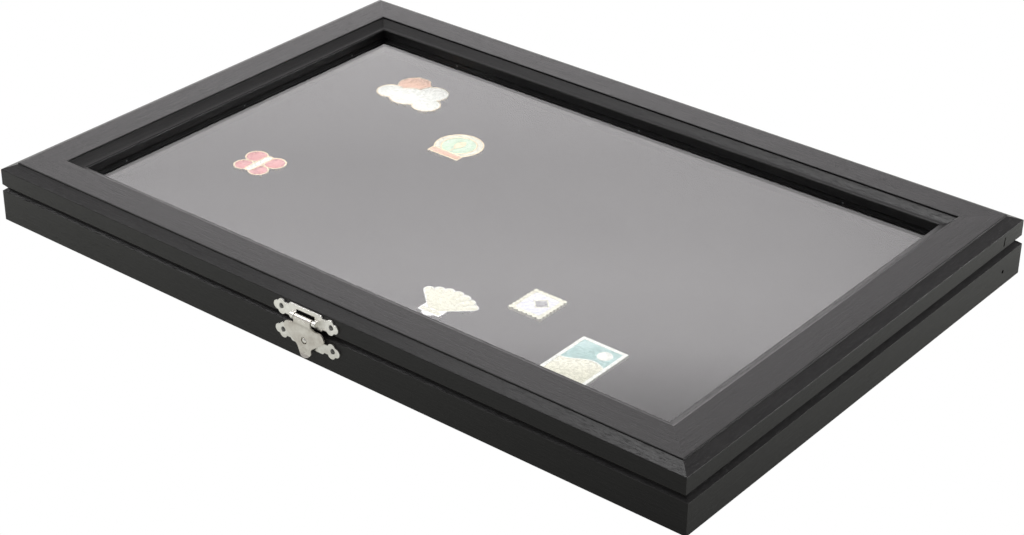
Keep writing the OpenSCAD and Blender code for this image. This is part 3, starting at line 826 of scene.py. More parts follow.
@dataclass
class RailFrame:
    """Four mitred rails, of the lid or of the base.

    Args:
        prefix: How the CAD nodes' names start.
        body: The body that the rails ride on.
        land: The land along its moulding, if it has one.
        arris: The width of the softened arrises.
        shortest: Edges shorter than this stay sharp, apart from those along a mitre.
        mitre_slack: How far an edge may lie from a mitre and still count as on it.
    """

    prefix: str
    body: Body
    land: Optional[Land] = None
    arris: float = 0.28 * MM
    shortest: float = 2.5 * MM
    mitre_slack: float = 0.01 * MM

    def mitre_test(self) -> Callable[[Edge], bool]:
        """Makes a test for the edges of a mitre.

        Returns:
            A function that is true for edges in the plane of a mitre.
        """
        front_low, front_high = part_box(f"{self.prefix}_front_rail")
        right_low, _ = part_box(f"{self.prefix}_right_rail")
        outer = Vector((front_high[0], -front_low[1]))
        mitre = (Vector((right_low[0], -front_high[1])) - outer).normalized()

        def on_mitre(edge: Edge) -> bool:
            """True if both ends lie on the mitre, seen from above."""
            gaps = [(Vector((abs(v.co.x), abs(v.co.y))) - outer).cross(mitre) for v in edge.verts]
            return all(abs(gap) < self.mitre_slack for gap in gaps)

        return on_mitre

    def build(self) -> list[Piece]:
        """Makes the four rails from the CAD solids.

        Returns:
            The four pieces.
        """
        fine = self.mitre_test()
        soften = Softening(self.arris, steps=3, least_length=self.shortest, fine=fine, crease=RAIL_CREASE)
        made = []
        for side in Side:
            node = f"{self.prefix}_{side.value}_rail"
            bm = joined_copy(node)
            if self.land:
                low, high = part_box(node)
                outer = {Side.FRONT: low.y, Side.RIGHT: high.x, Side.BACK: high.y, Side.LEFT: low.x}[side]
                self.land.shape(bm, side, outer)
            name = f"lacquered_{node}"
            made.append(soften.dress(name, node, self.body, "black_wood", LACQUER[side.grain], bm))
        return made


@dataclass
class Glazing:
    """The pane and the four strips that hold it.

    Args:
        seam: The width of the pane's ground edge.
        strip_arris: The width of the strips' softened arrises.
        shortest: Edges of the strips that are shorter than this stay sharp.
    """

    seam: float = 0.3 * MM
    strip_arris: float = 0.2 * MM
    shortest: float = 2 * MM

    def strip(self, side: Side) -> Piece:
        """One strip."""
        name, soften = f"glass_strip_{side.value}", Softening(self.strip_arris, least_length=self.shortest)
        return soften.dress(f"stained_{name}", name, Body.LID, "black_wood", LACQUER[side.grain])

    def build(self) -> list[Piece]:
        """Makes the pane and the strips."""
        seamed, looks = Softening(self.seam, steps=1), [GLASS, GLASS_EDGE]
        return [seamed.dress("float_glass", "glass_pane", Body.LID, "glass", looks), *map(self.strip, Side)]


@dataclass
class Latch:
    """The two stamped plates, the hasp and the stud.

    Args:
        edge: The width of the sheet's rolled edges.
        dome_r: The radius of the stud's dome, which stands in the hasp's hole.
        dome_out: How far the dome stands out of the stud's shoulder.
        dome_angles: The angles of the dome's points from its tip, in degrees.
        brim_in: How far the shoulder's chamfer reaches in from its edge.
        brim: The depths under the dome's foot where the chamfer starts and ends.
        turns: The facets round the stud.
        dimple_r: The radius of the ball that the thumb's dimple is pressed with.
        dimple_deep: How deep the dimple is.
        dimple_up: How far its middle is over the hasp's tip.
        aim: How far in front of the hasp the dimple's place is sought from.
    """

    edge: float = 0.24 * MM
    dome_r: float = 1.35 * MM
    dome_out: float = 1.1 * MM
    dome_angles: Sequence[int] = range(0, 91, 15)
    brim_in: float = 0.25 * MM
    brim: Pair = (0.08 * MM, 0.3 * MM)
    turns: int = 40
    dimple_r: float = 3.2 * MM
    dimple_deep: float = 0.36 * MM
    dimple_up: float = 3.0 * MM
    aim: float = 10 * MM

    def stamped(self, node: str, body: Body, finish: Finish, bm: Optional[BMesh] = None) -> Piece:
        """One stamped piece with rolled edges."""
        soften = Softening(self.edge, least_turn=SHEET_ANGLE)
        # Its rolled edges take the paler nickel, a painted highlight.
        return soften.dress(f"stamped_{node}", node, body, "nickel", [finish, NICKEL_EDGE_HIGHLIGHT], bm)

    def dimpled(self, node: str) -> BMesh:
        """The hasp's mesh with a dimple pressed into its tip.

        Args:
            node: The CAD node.

        Returns:
            The mesh, which the caller frees.
        """
        low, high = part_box(node)
        bm = joined_copy(node)
        start = Vector(((low.x + high.x) / 2, low.y - self.aim, low.z + self.dimple_up))
        hit = BVHTree.FromBMesh(bm).ray_cast(start, Vector((0, 1, 0)))[0]
        ball = bmesh.new()
        centre = Matrix.Translation(hit + Vector((0, self.dimple_deep - self.dimple_r, 0)))
        bmesh.ops.create_icosphere(ball, subdivisions=4, radius=self.dimple_r, matrix=centre)
        blank, tool = new_object(f"{node}_blank", bm), new_object(f"{node}_punch", ball)
        press = blank.modifiers.new("press", "BOOLEAN")
        press.operation = "DIFFERENCE"
        press.object = tool
        pressed = bmesh.new()
        pressed.from_mesh(settle(blank).data)
        for spent in (blank.data, tool.data):
            bpy.data.meshes.remove(spent)
        return pressed

    def stud(self) -> Piece:
        """The riveted stud, a turned piece whose dome stands out through the hasp's hole.

        Returns:
            The piece.
        """
        low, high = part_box("catch_stud")
        middle, radius = (low + high) / 2, (high.x - low.x) / 2
        turns = [math.radians(angle) for angle in self.dome_angles]
        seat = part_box("catch_plate")[0].y
        outline = [
            *((self.dome_r * math.sin(turn), low.y - self.dome_out * math.cos(turn)) for turn in turns),
            (radius - self.brim_in, low.y + self.brim[0]),
            (radius, low.y + self.brim[1]),
            (radius, seat),
            (radius / 2, seat),
            (radius / 2, high.y),
            (0, high.y),
        ]
        bm = bmesh.new()
        verts = [bm.verts.new((middle.x + reach, y, middle.z)) for reach, y in outline]
        edges = [bm.edges.new(pair) for pair in zip(verts, verts[1:])]
        spin = {"cent": (middle.x, 0, middle.z), "axis": (0, 1, 0), "angle": 2 * math.pi, "steps": self.turns}
        bmesh.ops.spin(bm, geom=verts + edges, **spin)
        bmesh.ops.remove_doubles(bm, verts=bm.verts, dist=MERGE)
        bmesh.ops.recalc_face_normals(bm, faces=bm.faces)
        piece = smooth(new_object("riveted_stud", bm, [BRIGHT_NICKEL]))
        return hand_over(piece, Body.BASE, ["catch_stud"])

    def build(self) -> list[Piece]:
        """Makes the plates, the hasp and the stud.

        Returns:
            The four pieces.
        """
        return [
            self.stamped("strike_plate", Body.LID, BRIGHT_NICKEL),
            self.stamped("catch_plate", Body.BASE, BRIGHT_NICKEL),
            self.stamped("hasp", Body.HASP, NICKEL, self.dimpled("hasp")),
            self.stud(),
        ]


@dataclass
class Pad:
    """The felt and the foam block under it.

    Args:
        cell: The size of the felt's surface squares.
        fold: The radius that the felt is folded down with at its edges.
        fold_angles: The angles of the fold's points, in degrees.
        wave: How far the felt's surface dips between the pins.
        ripple: The distance between its waves.
        layer: Which layer of the noise they follow.
        dip: The share of the dip where the noise is level, and how much the noise takes off it.
        foam_arris: The width of the foam's softened edges.
        shortest: Edges of the foam that are shorter than this stay sharp.
    """

    cell: float = 3.0 * MM
    fold: float = 1.6 * MM
    fold_angles: Sequence[int] = (0, 22, 45, 68, 90)
    wave: float = 0.16 * MM
    ripple: float = 34 * MM
    layer: float = 0.5
    dip: Pair = (0.5, 0.9)
    foam_arris: float = 0.4 * MM
    shortest: float = 3 * MM

    def stops(self, low: float, high: float) -> list[float]:
        """Where the felt's grid is divided along one side, closer together at its folds.

        Args:
            low: Where the side starts.
            high: Where it ends.

        Returns:
            The places in rising order.
        """
        fold = [self.fold * (1 - math.cos(math.radians(angle))) for angle in self.fold_angles]
        count = max(2, round((high - low - 2 * self.fold) / self.cell))
        first, last = low + self.fold, high - self.fold
        inner = [first + (last - first) * i / count for i in range(1, count)]
        return [low + f for f in fold] + inner + [high - f for f in reversed(fold)]

    def drop(self, x: float, y: float, low: Vector, high: Vector) -> float:
        """How far the felt's surface lies under its highest level.

        Args:
            x: The place along X.
            y: The place along Y.
            low: The low corner of the felt's box.
            high: Its high corner.

        Returns:
            The drop, in metres.
        """
        out = max(0.0, self.fold - min(x - low.x, high.x - x, y - low.y, high.y - y))
        fold = self.fold - math.sqrt(max(0.0, self.fold**2 - out**2))
        swell = noise.noise(Vector((x / self.ripple, y / self.ripple, self.layer)))
        return fold + self.wave * min(1.0, max(0.0, self.dip[0] - self.dip[1] * swell))

    def felt(self) -> Piece:
        """The felt, gently waved on top and folded down round the foam.

        Returns:
            The piece.
        """
        low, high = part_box("felt_cover")
        xs, ys = self.stops(low.x, high.x), self.stops(low.y, high.y)
        bm = bmesh.new()
        rows = [[bm.verts.new((x, y, high.z - self.drop(x, y, low, high))) for x in xs] for y in ys]
        for near, far in zip(rows, rows[1:]):
            for i in range(len(xs) - 1):
                bm.faces.new((near[i], near[i + 1], far[i + 1], far[i]))
        rim = rows[0] + [row[-1] for row in rows[1:]] + rows[-1][-2::-1] + [row[0] for row in rows[-2:0:-1]]
        hem = [bm.verts.new((v.co.x, v.co.y, low.z)) for v in rim]
        for i, vert in enumerate(rim):
            j = (i + 1) % len(rim)
            bm.faces.new((hem[i], hem[j], rim[j], vert))
        bm.faces.new(hem[::-1])
        bmesh.ops.recalc_face_normals(bm, faces=bm.faces)
        piece = smooth(new_object("felt_pad", bm, [FELT]), SHEET_ANGLE)
        return hand_over(piece, Body.BASE, ["felt_cover"])

    def foam(self) -> Piece:
        """The foam block.

        Returns:
            The piece.
        """
        soften = Softening(self.foam_arris, least_length=self.shortest)
        piece = soften.apply("foam_block", joined_copy("foam_pad"), [FOAM])
        return hand_over(piece, Body.BASE, ["foam_pad"])

    def build(self) -> list[Piece]:
        """Makes both."""
        return [self.felt(), self.foam()]


@dataclass(frozen=True)
class Cell:
    """One cell of a pin's plate, which holds enamel.

    Args:
        floor: The faces of its floor.
        area: The floor's area, in square mm.
        x: The place of its middle, in mm right of the plate's middle.
        y: The same, in mm behind the plate's middle.
        share: Its share of all the enamel.
    """

    floor: list[Face]
    area: float
    x: float
    y: float
    share: float


@dataclass
class Badge:
    """One enamel pin: its plate and the enamel in its cells.

    Args:
        node: The CAD node of the plate.
        plate: The plate's finish.
        slot: The plate's record slot, which the dressing does not use.
        tone: Gives the enamel of a cell.
        edge: The width of the plate's softened edges.
        fill: How much of a cell's depth the enamel fills.
        crown: How far the enamel stands up in the middle of a cell.
        inset: How far in from a cell's wall the crown is full.
    """

    node: str
    plate: Finish
    slot: str
    tone: Callable[[Cell], Tone]
    edge: float = 0.09 * MM
    fill: float = 0.75
    crown: float = 0.07 * MM
    inset: float = 0.16 * MM

    def cells(self, faces: Sequence[Face]) -> list[Cell]:
        """Groups the faces of the cells' floors.

        Args:
            faces: The faces.

        Returns:
            The cells, the largest first.
        """
        low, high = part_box(self.node)
        total = sum(face.calc_area() for face in faces)
        found = []
        for floor in islands(faces, lambda face: [g for edge in face.edges for g in edge.link_faces]):
            floor.sort(key=lambda face: face.index)
            area = sum(face.calc_area() for face in floor)
            centre = sum((face.calc_center_median() * face.calc_area() for face in floor), Vector()) / area
            place = (centre - (low + high) / 2) / MM
            found.append(Cell(floor, area / MM**2, place.x, place.y, area / total))
        return sorted(found, key=lambda cell: (-round(cell.area, 2), round(cell.x, 2), round(cell.y, 2)))

    def pour(self, name: str, cell: Cell, depth: float) -> Piece:
        """Fills one cell with a closed, slightly crowned body of enamel.

        Args:
            name: The piece's name.
            cell: The cell.
            depth: Its depth.

        Returns:
            The enamel piece.
        """
        bm = bmesh.new()
        corners = {}
        for face in cell.floor:
            for vert in face.verts:
                if vert not in corners:
                    corners[vert] = bm.verts.new(vert.co)
            bm.faces.new([corners[v] for v in face.verts])
        raised = bmesh.ops.extrude_face_region(bm, geom=list(bm.faces))["geom"]
        lifted = [g for g in raised if isinstance(g, bmesh.types.BMVert)]
        bmesh.ops.translate(bm, verts=lifted, vec=(0, 0, depth * self.fill))
        top = [g for g in raised if isinstance(g, Face)]
        bmesh.ops.recalc_face_normals(bm, faces=bm.faces)
        bmesh.ops.inset_region(bm, faces=top, thickness=self.inset, depth=self.crown, use_even_offset=True)
        return smooth(new_object(name, bm, [self.tone(cell).finish]))

    def build(self) -> list[Piece]:
        """Dresses the plate and fills its cells.

        Returns:
            The enamel pieces.
        """
        soften = Softening(self.edge, least_turn=SHEET_ANGLE)
        soften.dress(f"{self.node}_plate", self.node, Body.BASE, self.slot, [self.plate])
        bm = joined_copy(self.node, merge_flats=False)
        bm.faces.index_update()
        level = [face for face in bm.faces if face.normal.z > LEVEL]
        floor, top = sorted({round(face.calc_center_median().z, 6) for face in level})[-2:]
        level = [face for face in level if abs(face.calc_center_median().z - floor) < MERGE]
        made = []
        for number, cell in enumerate(self.cells(level), 1):
            slot = self.tone(cell).slot
            enamel = self.pour(f"{self.node}_{slot}_{number}", cell, top - floor)
            made.append(hand_over(enamel, Body.BASE))
        bm.free()
        return made


@dataclass
class Badges:
    """The six pins on the pad."""

    def cloud(self, cell: Cell) -> Tone:
        """Peach sun, white cloud."""
        return Tone.PEACH if cell.x < 0 and cell.y > 5 else Tone.WHITE

    def tulip(self, cell: Cell) -> Tone:
        """Cream ring, green disc and a peach bar."""
        ring = Tone.GREEN if cell.share > 0.4 else Tone.CREAM
        return Tone.PEACH if cell.y < -6 else ring

    def butterfly(self, cell: Cell) -> Tone:
        """Rose wings, white body."""
        return Tone.WHITE if abs(cell.x) < 1 else Tone.ROSE

    def shell(self, cell: Cell) -> Tone:
        """Cream ribs over a teal hinge."""
        return Tone.TEAL if cell.share < 0.2 else Tone.CREAM

    def stamp(self, cell: Cell) -> Tone:
        """Grey lozenge on lavender."""
        return Tone.LAVENDER if cell.share > 0.5 else Tone.GREY

    def hills(self, cell: Cell) -> Tone:
        """Teal sky, white sun and cream hills."""
        ground = Tone.TEAL if cell.y > 0 else Tone.CREAM
        return Tone.WHITE if cell.share < 0.15 else ground

    def build(self) -> list[Piece]:
        """Makes all six.

        Returns:
            The enamel pieces.
        """
        cream = FiredEnamel("cream_plate", Tone.CREAM.value[1])
        white = FiredEnamel("white_plate", Tone.WHITE.value[1])
        badges = [
            Badge("pin_cloud", GILT, "gilt", self.cloud),
            Badge("pin_tulip", GILT, "gilt", self.tulip),
            Badge("pin_butterfly", GILT, "gilt", self.butterfly),
            Badge("pin_shell", SILVER, "pin_silver", self.shell),
            Badge("pin_stamp", cream, "enamel_cream", self.stamp),
            Badge("pin_hills", white, "enamel_white", self.hills),
        ]
        return [piece for badge in badges for piece in badge.build()]


class Heads(Enum):
    """The way that the heads of a set of fasteners face."""

    UP = "up"
    DOWN = "down"
    OUTWARD = "outward"
    INWARD = "inward"

    def axis(self, low: Vector, high: Vector) -> Vector:
        """The direction out of the head of a fastener that fills a box.

        Args:
            low: The box's low corner.
            high: Its high corner.

        Returns:
            A unit vector along the box's longest side.
        """
        size = list(high - low)
        along = size.index(max(size))
        sign = math.copysign(1, low[along] + high[along])
        if along == 2:
            sign = 1 if self is Heads.UP else -1
        elif self is Heads.INWARD:
            sign = -sign
        axis = Vector()
        axis[along] = sign
        return axis


@dataclass(frozen=True)
class Fastener:
    """The sizes of a turned screw, nail or brad, in mm, from its head down.

    Args:
        head_radius: The head's radius.
        crown: How far the middle of the head stands over its rim.
        rim: The height of the rim.
        cone: The height of the cone under it.
        shank_radius: The shank's radius.
        length: The whole length.
        point: The height of the point.
        recess_width: The width of the cross recess's arms, or 0 for none.
        recess_reach: How far they reach out.
        recess_depth: How deep they are.
    """

    head_radius: float
    crown: float
    rim: float
    cone: float
    shank_radius: float
    length: float
    point: float
    recess_width: float = 0.0
    recess_reach: float = 0.0
    recess_depth: float = 0.0


def live(sockets: Iterable[Socket], name: str = "") -> Socket:
    """The first socket in use, or the first one of a name."""
    return next(socket for socket in sockets if socket.enabled and name in ("", socket.name))


class FastenerTree(Tree):
    """The Geometry Nodes tree that turns a fastener and sets it on each point of a mesh.

    The mesh has an attribute that holds the direction out of each head. The turned form is a grid whose
    columns are the points of the outline and whose rows are the steps round the axis.
    """

    NAME = "fasteners_on_points"
    AXIS = "head_axis"
    STEPS = 24

    def __init__(self) -> None:
        """Takes the tree that is there, or builds it."""
        found = bpy.data.node_groups.get(self.NAME)
        super().__init__(found or bpy.data.node_groups.new(self.NAME, "GeometryNodeTree"))
        if not found:
            self.build()

    def identifiers(self) -> dict[str, str]:
        """The identifiers of the inputs by their names."""
        items = self.tree.interface.items_tree
        return {item.name: item.identifier for item in items if item.in_out == "INPUT"}

    def scaled(self, value: Socket, factor: Value) -> Socket:
        """A value times another one."""
        return self.maths("MULTIPLY", value, factor)

    def vector(self, x: Value, y: Value, z: Value) -> Socket:
        """A vector of three numbers or outputs."""
        return self.node("ShaderNodeCombineXYZ", {0: x, 1: y, 2: z}).outputs[0]

    def position(self) -> list[Socket]:
        """The three parts of a point's position."""
        return self.parts(self.node("GeometryNodeInputPosition").outputs[0])

    def placed(self, geometry: Socket, position: Socket) -> Socket:
        """The geometry with its points at new positions."""
        return self.node("GeometryNodeSetPosition", {"Geometry": geometry, "Position": position}).outputs[0]

    def pick(self, index: Socket, values: Sequence[Value]) -> Socket:
        """Picks from a list.

        Args:
            index: A place in the list.
            values: The list.

        Returns:
            The value at that place.
        """
        made = self.node("GeometryNodeIndexSwitch", data_type="FLOAT")
        while len(made.index_switch_items) < len(values):
            made.index_switch_items.new()
        for socket, value in zip(made.inputs, (index, *values)):
            self.feed(socket, value)
        return made.outputs[0]

    def turned(self, sizes: dict[str, Socket]) -> Socket:
        """The fastener without its recess, its highest point at the origin.

        Args:
            sizes: The outputs that hold its sizes.

        Returns:
            The closed form.
        """
        head, shank, crown, length = (sizes[n] for n in ("head_radius", "shank_radius", "crown", "length"))
        rim_end = self.maths("ADD", crown, sizes["rim"])
        outline = [
            (0.0, 0.0),
            (self.scaled(head, 0.5), self.scaled(crown, 0.25)),
            (self.scaled(head, 0.85), self.scaled(crown, 0.72)),
            (head, crown),
            (head, rim_end),
            (shank, self.maths("ADD", rim_end, sizes["cone"])),
            (shank, self.maths("SUBTRACT", length, sizes["point"])),
            (self.scaled(shank, 0.25), length),
            (0.0, length),
        ]
        last = len(outline) - 1
        spans = {"Size X": float(last), "Size Y": float(self.STEPS)}
        counts = {"Vertices X": last + 1, "Vertices Y": self.STEPS + 1}
        grid = self.node("GeometryNodeMeshGrid", {**spans, **counts})
        x, y, _ = self.position()
        number = self.maths("ADD", x, last / 2)
        column = self.node("FunctionNodeFloatToInt", {0: number}, rounding_mode="ROUND").outputs[0]
        radius, depth = (self.pick(column, values) for values in zip(*outline))
        turn = self.scaled(self.maths("ADD", y, self.STEPS / 2), 2 * math.pi / self.STEPS)
        around = (self.scaled(radius, self.maths(name, turn)) for name in ("COSINE", "SINE"))
        form = self.placed(grid.outputs["Mesh"], self.vector(*around, self.scaled(depth, -1.0)))
        return self.node("GeometryNodeMergeByDistance", {"Geometry": form, "Distance": MERGE}).outputs[0]

    def recessed(self, solid: Socket, sizes: dict[str, Socket]) -> Socket:
        """The fastener with a cross sunk into its head, where the recess has a width.

        Args:
            solid: The turned form.
            sizes: The outputs that hold its sizes.

        Returns:
            The finished form.
        """
        reach, width, depth = (sizes[f"recess_{name}"] for name in ("reach", "width", "depth"))
        size = self.vector(self.scaled(reach, 2.0), width, self.scaled(depth, 2.0))
        cube = self.node("GeometryNodeMeshCube", {"Size": size}).outputs["Mesh"]
        x, y, z = self.position()
        narrow = self.maths("ADD", self.scaled(self.maths("DIVIDE", z, depth), 0.25), 0.75)
        arm = self.placed(cube, self.vector(self.scaled(x, narrow), self.scaled(y, narrow), z))
        across = self.node("GeometryNodeTransform", {"Geometry": arm, "Rotation": (0, 0, math.pi / 2)})
        cut = self.node("GeometryNodeMeshBoolean", {0: solid, 1: arm}, operation="DIFFERENCE")
        self.feed(cut.inputs[1], across.outputs[0])
        wide = self.node("FunctionNodeCompare", {0: width}, data_type="FLOAT", operation="GREATER_THAN")
        choice = {"Switch": wide.outputs[0], "False": solid, "True": cut.outputs[0]}
        return self.node("GeometryNodeSwitch", choice, input_type="GEOMETRY").outputs[0]

    def facing(self, seed: Socket) -> Socket:
        """The turn that makes a fastener's head face along its axis, with a random turn about it.

        Args:
            seed: The output that holds the seed.

        Returns:
            The rotation.
        """
        axis = self.node("GeometryNodeInputNamedAttribute", {"Name": self.AXIS}, data_type="FLOAT_VECTOR")
        align = self.node("FunctionNodeAlignRotationToVector", {"Vector": live(axis.outputs)}, axis="Z")
        chance = self.node("FunctionNodeRandomValue", {"Seed": seed}, data_type="FLOAT")
        self.feed(live(chance.inputs, "Max"), 2 * math.pi)
        about = {"Axis": (0, 0, 1), "Angle": live(chance.outputs)}
        spin = self.node("FunctionNodeAxisAngleToRotation", about).outputs[0]
        turn = self.node("FunctionNodeRotateRotation", {0: align.outputs[0], 1: spin}, rotation_space="LOCAL")
        return turn.outputs[0]

    def build(self) -> None:
        """Builds the tree."""
        names = [size.name for size in fields(Fastener)]
        floats = dict.fromkeys(names, "Float")
        kinds = {"Geometry": "Geometry", **floats, "Seed": "Int", "Material": "Material"}
        for name, kind in kinds.items():
            self.tree.interface.new_socket(name, in_out="INPUT", socket_type=f"NodeSocket{kind}")
        self.tree.interface.new_socket("Geometry", in_out="OUTPUT", socket_type="NodeSocketGeometry")
        start = self.node("NodeGroupInput").outputs
        sizes = {name: start[name] for name in names}
        form = self.recessed(self.turned(sizes), sizes)
        inputs = {"Points": start["Geometry"], "Instance": form, "Rotation": self.facing(start["Seed"])}
        made = self.node("GeometryNodeInstanceOnPoints", inputs).outputs[0]
        made = self.node("GeometryNodeRealizeInstances", {"Geometry": made}).outputs[0]
        made = self.node("GeometryNodeSetMaterial", {"Geometry": made})
        self.feed(made.inputs["Material"], start["Material"])
        self.node("NodeGroupOutput", {"Geometry": made.outputs[0]})


def loose_boxes(node: str) -> list[tuple[Vector, Vector]]:
    """The boxes of a CAD node's separate solids.

    Args:
        node: The CAD node's name.

    Returns:
        The low and high corner of each, in a fixed order.
    """
    bm = joined_copy(node, merge_flats=False)
    boxes = []
    for solid in islands(bm.verts, lambda vert: [edge.other_vert(vert) for edge in vert.link_edges]):
        spans = list(zip(*(vert.co for vert in solid)))
        boxes.append((Vector([min(span) for span in spans]), Vector([max(span) for span in spans])))
    bm.free()
    return sorted(boxes, key=lambda box: tuple(round(c, 5) for c in box[0]))


@dataclass(frozen=True)
class FastenerSet:
    """All the fasteners of one CAD node.

    Args:
        node: The CAD node that they stand for.
        body: The body that they ride on.
        heads: The way that their heads face.
        shape: Their sizes.
        finish: Their finish.
        slot: Their record slot; not used.
        seed: The seed of their turns about their own axes.
    """

    node: str
    body: Body
    heads: Heads
    shape: Fastener
    finish: Finish
    slot: str
    seed: int = 1

    def points(self) -> bpy.types.Mesh:
        """Marks the top of each fastener.

        Returns:
            A mesh of points that hold the directions out of the heads.
        """
        mesh = bpy.data.meshes.new(self.node)
        boxes = loose_boxes(self.node)
        axes = [self.heads.axis(*box) for box in boxes]
        tops = []
        for (low, high), axis in zip(boxes, axes):
            tops.append((low + high) / 2 + axis * abs((high - low).dot(axis)) / 2)
        mesh.from_pydata(tops, [], [])
        directions = mesh.attributes.new(FastenerTree.AXIS, "FLOAT_VECTOR", "POINT")
        directions.data.foreach_set("vector", [c for axis in axes for c in axis])
        return mesh

    def build(self) -> Piece:
        """Sets a fastener at the place of each solid of the node.

        Returns:
            One piece that holds them all.
        """
        piece = add_object(f"turned_{self.node}", self.points())
        tree = FastenerTree()
        turned = piece.modifiers.new("turned", "NODES")
        turned.node_group = tree.tree
        inputs = {name: size * MM for name, size in asdict(self.shape).items()}
        inputs.update(Seed=self.seed, Material=self.finish.material())
        identifiers = tree.identifiers()
        for name, value in inputs.items():
            turned[identifiers[name]] = value
        bm = bmesh.new()
        bm.from_mesh(settle(piece).data)
        bmesh.ops.recalc_face_normals(bm, faces=bm.faces)
        bm.to_mesh(piece.data)
        bm.free()
        return hand_over(smooth(piece), self.body, [self.node])


SCREW = Fastener(
    head_radius=1.7, crown=0.08, rim=0.04, cone=0.72, shank_radius=0.88, length=7.9, point=1.5,
    recess_width=0.42, recess_reach=1.05, recess_depth=0.6,
)
PANEL_BRAD = Fastener(
    head_radius=1.18, crown=0.12, rim=0.22, cone=0.12, shank_radius=0.58, length=8.8, point=1.2
)
STRIP_BRAD = Fastener(
    head_radius=0.44, crown=0.06, rim=0.4, cone=0.05, shank_radius=0.41, length=10.7, point=0.8
)
CORNER_BRAD = Fastener(
    head_radius=0.59, crown=0.08, rim=0.5, cone=0.1, shank_radius=0.54, length=21.9, point=1.2
)
LATCH_NAIL = Fastener(
    head_radius=1.09, crown=0.42, rim=0.08, cone=0.3, shank_radius=0.59, length=7.5, point=1.4
)


@dataclass
class Hardware:
    """The hinges, screws, nails, brads and the back panel.

    Args:
        leaf_edge: The width of the hinge leaves' rolled edges.
        panel_arris: The width of the panel's softened edges.
        shortest: Edges of the panel that are shorter than this stay sharp.
        hinges: How the hinges' CAD nodes start.
        plain: The CAD nodes whose shape is right as it is.
        sets: The sets of fasteners.
    """

    leaf_edge: float = 0.12 * MM
    panel_arris: float = 0.3 * MM
    shortest: float = 3 * MM
    hinges: Sequence[str] = ("hinge_left", "hinge_right")
    plain: Sequence[str] = ("hinge_left_pin", "hinge_right_pin", "lid_corner_brads")
    sets: Sequence[FastenerSet] = (
        FastenerSet("base_leaf_screws", Body.BASE, Heads.UP, SCREW, NICKEL, "nickel", 3),
        FastenerSet("lid_leaf_screws", Body.LID, Heads.DOWN, SCREW, NICKEL, "nickel", 8),
        FastenerSet("panel_brads", Body.BASE, Heads.DOWN, PANEL_BRAD, STEEL, "steel"),
        FastenerSet("glass_strip_brads", Body.LID, Heads.INWARD, STRIP_BRAD, STEEL, "steel"),
        FastenerSet("base_corner_brads", Body.BASE, Heads.OUTWARD, CORNER_BRAD, STEEL, "steel"),
        FastenerSet("catch_nails", Body.BASE, Heads.OUTWARD, LATCH_NAIL, SHADE_DARKENED_NAIL_STEEL, "nickel"),
        FastenerSet("strike_nails", Body.LID, Heads.OUTWARD, LATCH_NAIL, SHADE_DARKENED_NAIL_STEEL, "nickel"),
    )

    def leaf(self, hinge: str, body: Body) -> Piece:
        """The leaf of a hinge on one of its two bodies."""
        node, soften = f"{hinge}_{body.value}_leaf", Softening(self.leaf_edge, least_turn=SHEET_ANGLE)
        # Its rolled edges take the paler nickel, a painted highlight.
        return soften.dress(f"rolled_{node}", node, body, "nickel", [NICKEL, NICKEL_EDGE_HIGHLIGHT])

    def panel(self) -> Piece:
        """The back panel."""
        soften = Softening(self.panel_arris, least_length=self.shortest)
        return soften.dress("hardboard_back", "back_panel", Body.BASE, "hardboard", [HARDBOARD])

    def build(self) -> list[Piece]:
        """Makes the pieces, and gives the plain nodes their finish.

        Returns:
            The pieces.
        """
        leaves = [self.leaf(hinge, body) for hinge in self.hinges for body in (Body.BASE, Body.LID)]
        made = [*leaves, self.panel()]
        for node in self.plain:
            materials = NODES[node].data.materials
            materials.clear()
            materials.append(STEEL.material())
            log.info("%s is finished with %s", node, STEEL.name)
        return made + [fasteners.build() for fasteners in self.sets]


def direction(azimuth: float, elevation: float) -> Vector:
    """The unit vector at an azimuth, from +Y towards -X, and an elevation, both in degrees."""
    around, up = math.radians(azimuth), math.radians(elevation)
    return Vector((-math.sin(around) * math.cos(up), math.cos(around) * math.cos(up), math.sin(up)))


@dataclass(frozen=True)
class Softbox:
    """A rectangular lamp that faces the case.

    Args:
        name: The lamp's name.
        azimuth: Its direction from the case, in degrees from +Y towards -X.
        elevation: Its height over the floor as seen from the case, in degrees.
        distance: How far it is from the case, in metres.
        size: Its width and height in metres.
        radiance: How bright its face is, where white paper is 1.
    """

    name: str
    azimuth: float
    elevation: float
    distance: float
    size: Pair
    radiance: float

    def build(self) -> Piece:
        """Makes the lamp and turns it to the case.

        Returns:
            The lamp.
        """
        data = bpy.data.lights.new(self.name, "AREA")
        data.shape = "RECTANGLE"
        data.size, data.size_y = self.size
        data.energy = self.radiance * math.pi * self.size[0] * self.size[1]
        lamp = add_object(self.name, data)
        toward = direction(self.azimuth, self.elevation)
        lamp.location = toward * self.distance
        lamp.rotation_euler = toward.to_track_quat("Z", "Y").to_euler()
        return lamp


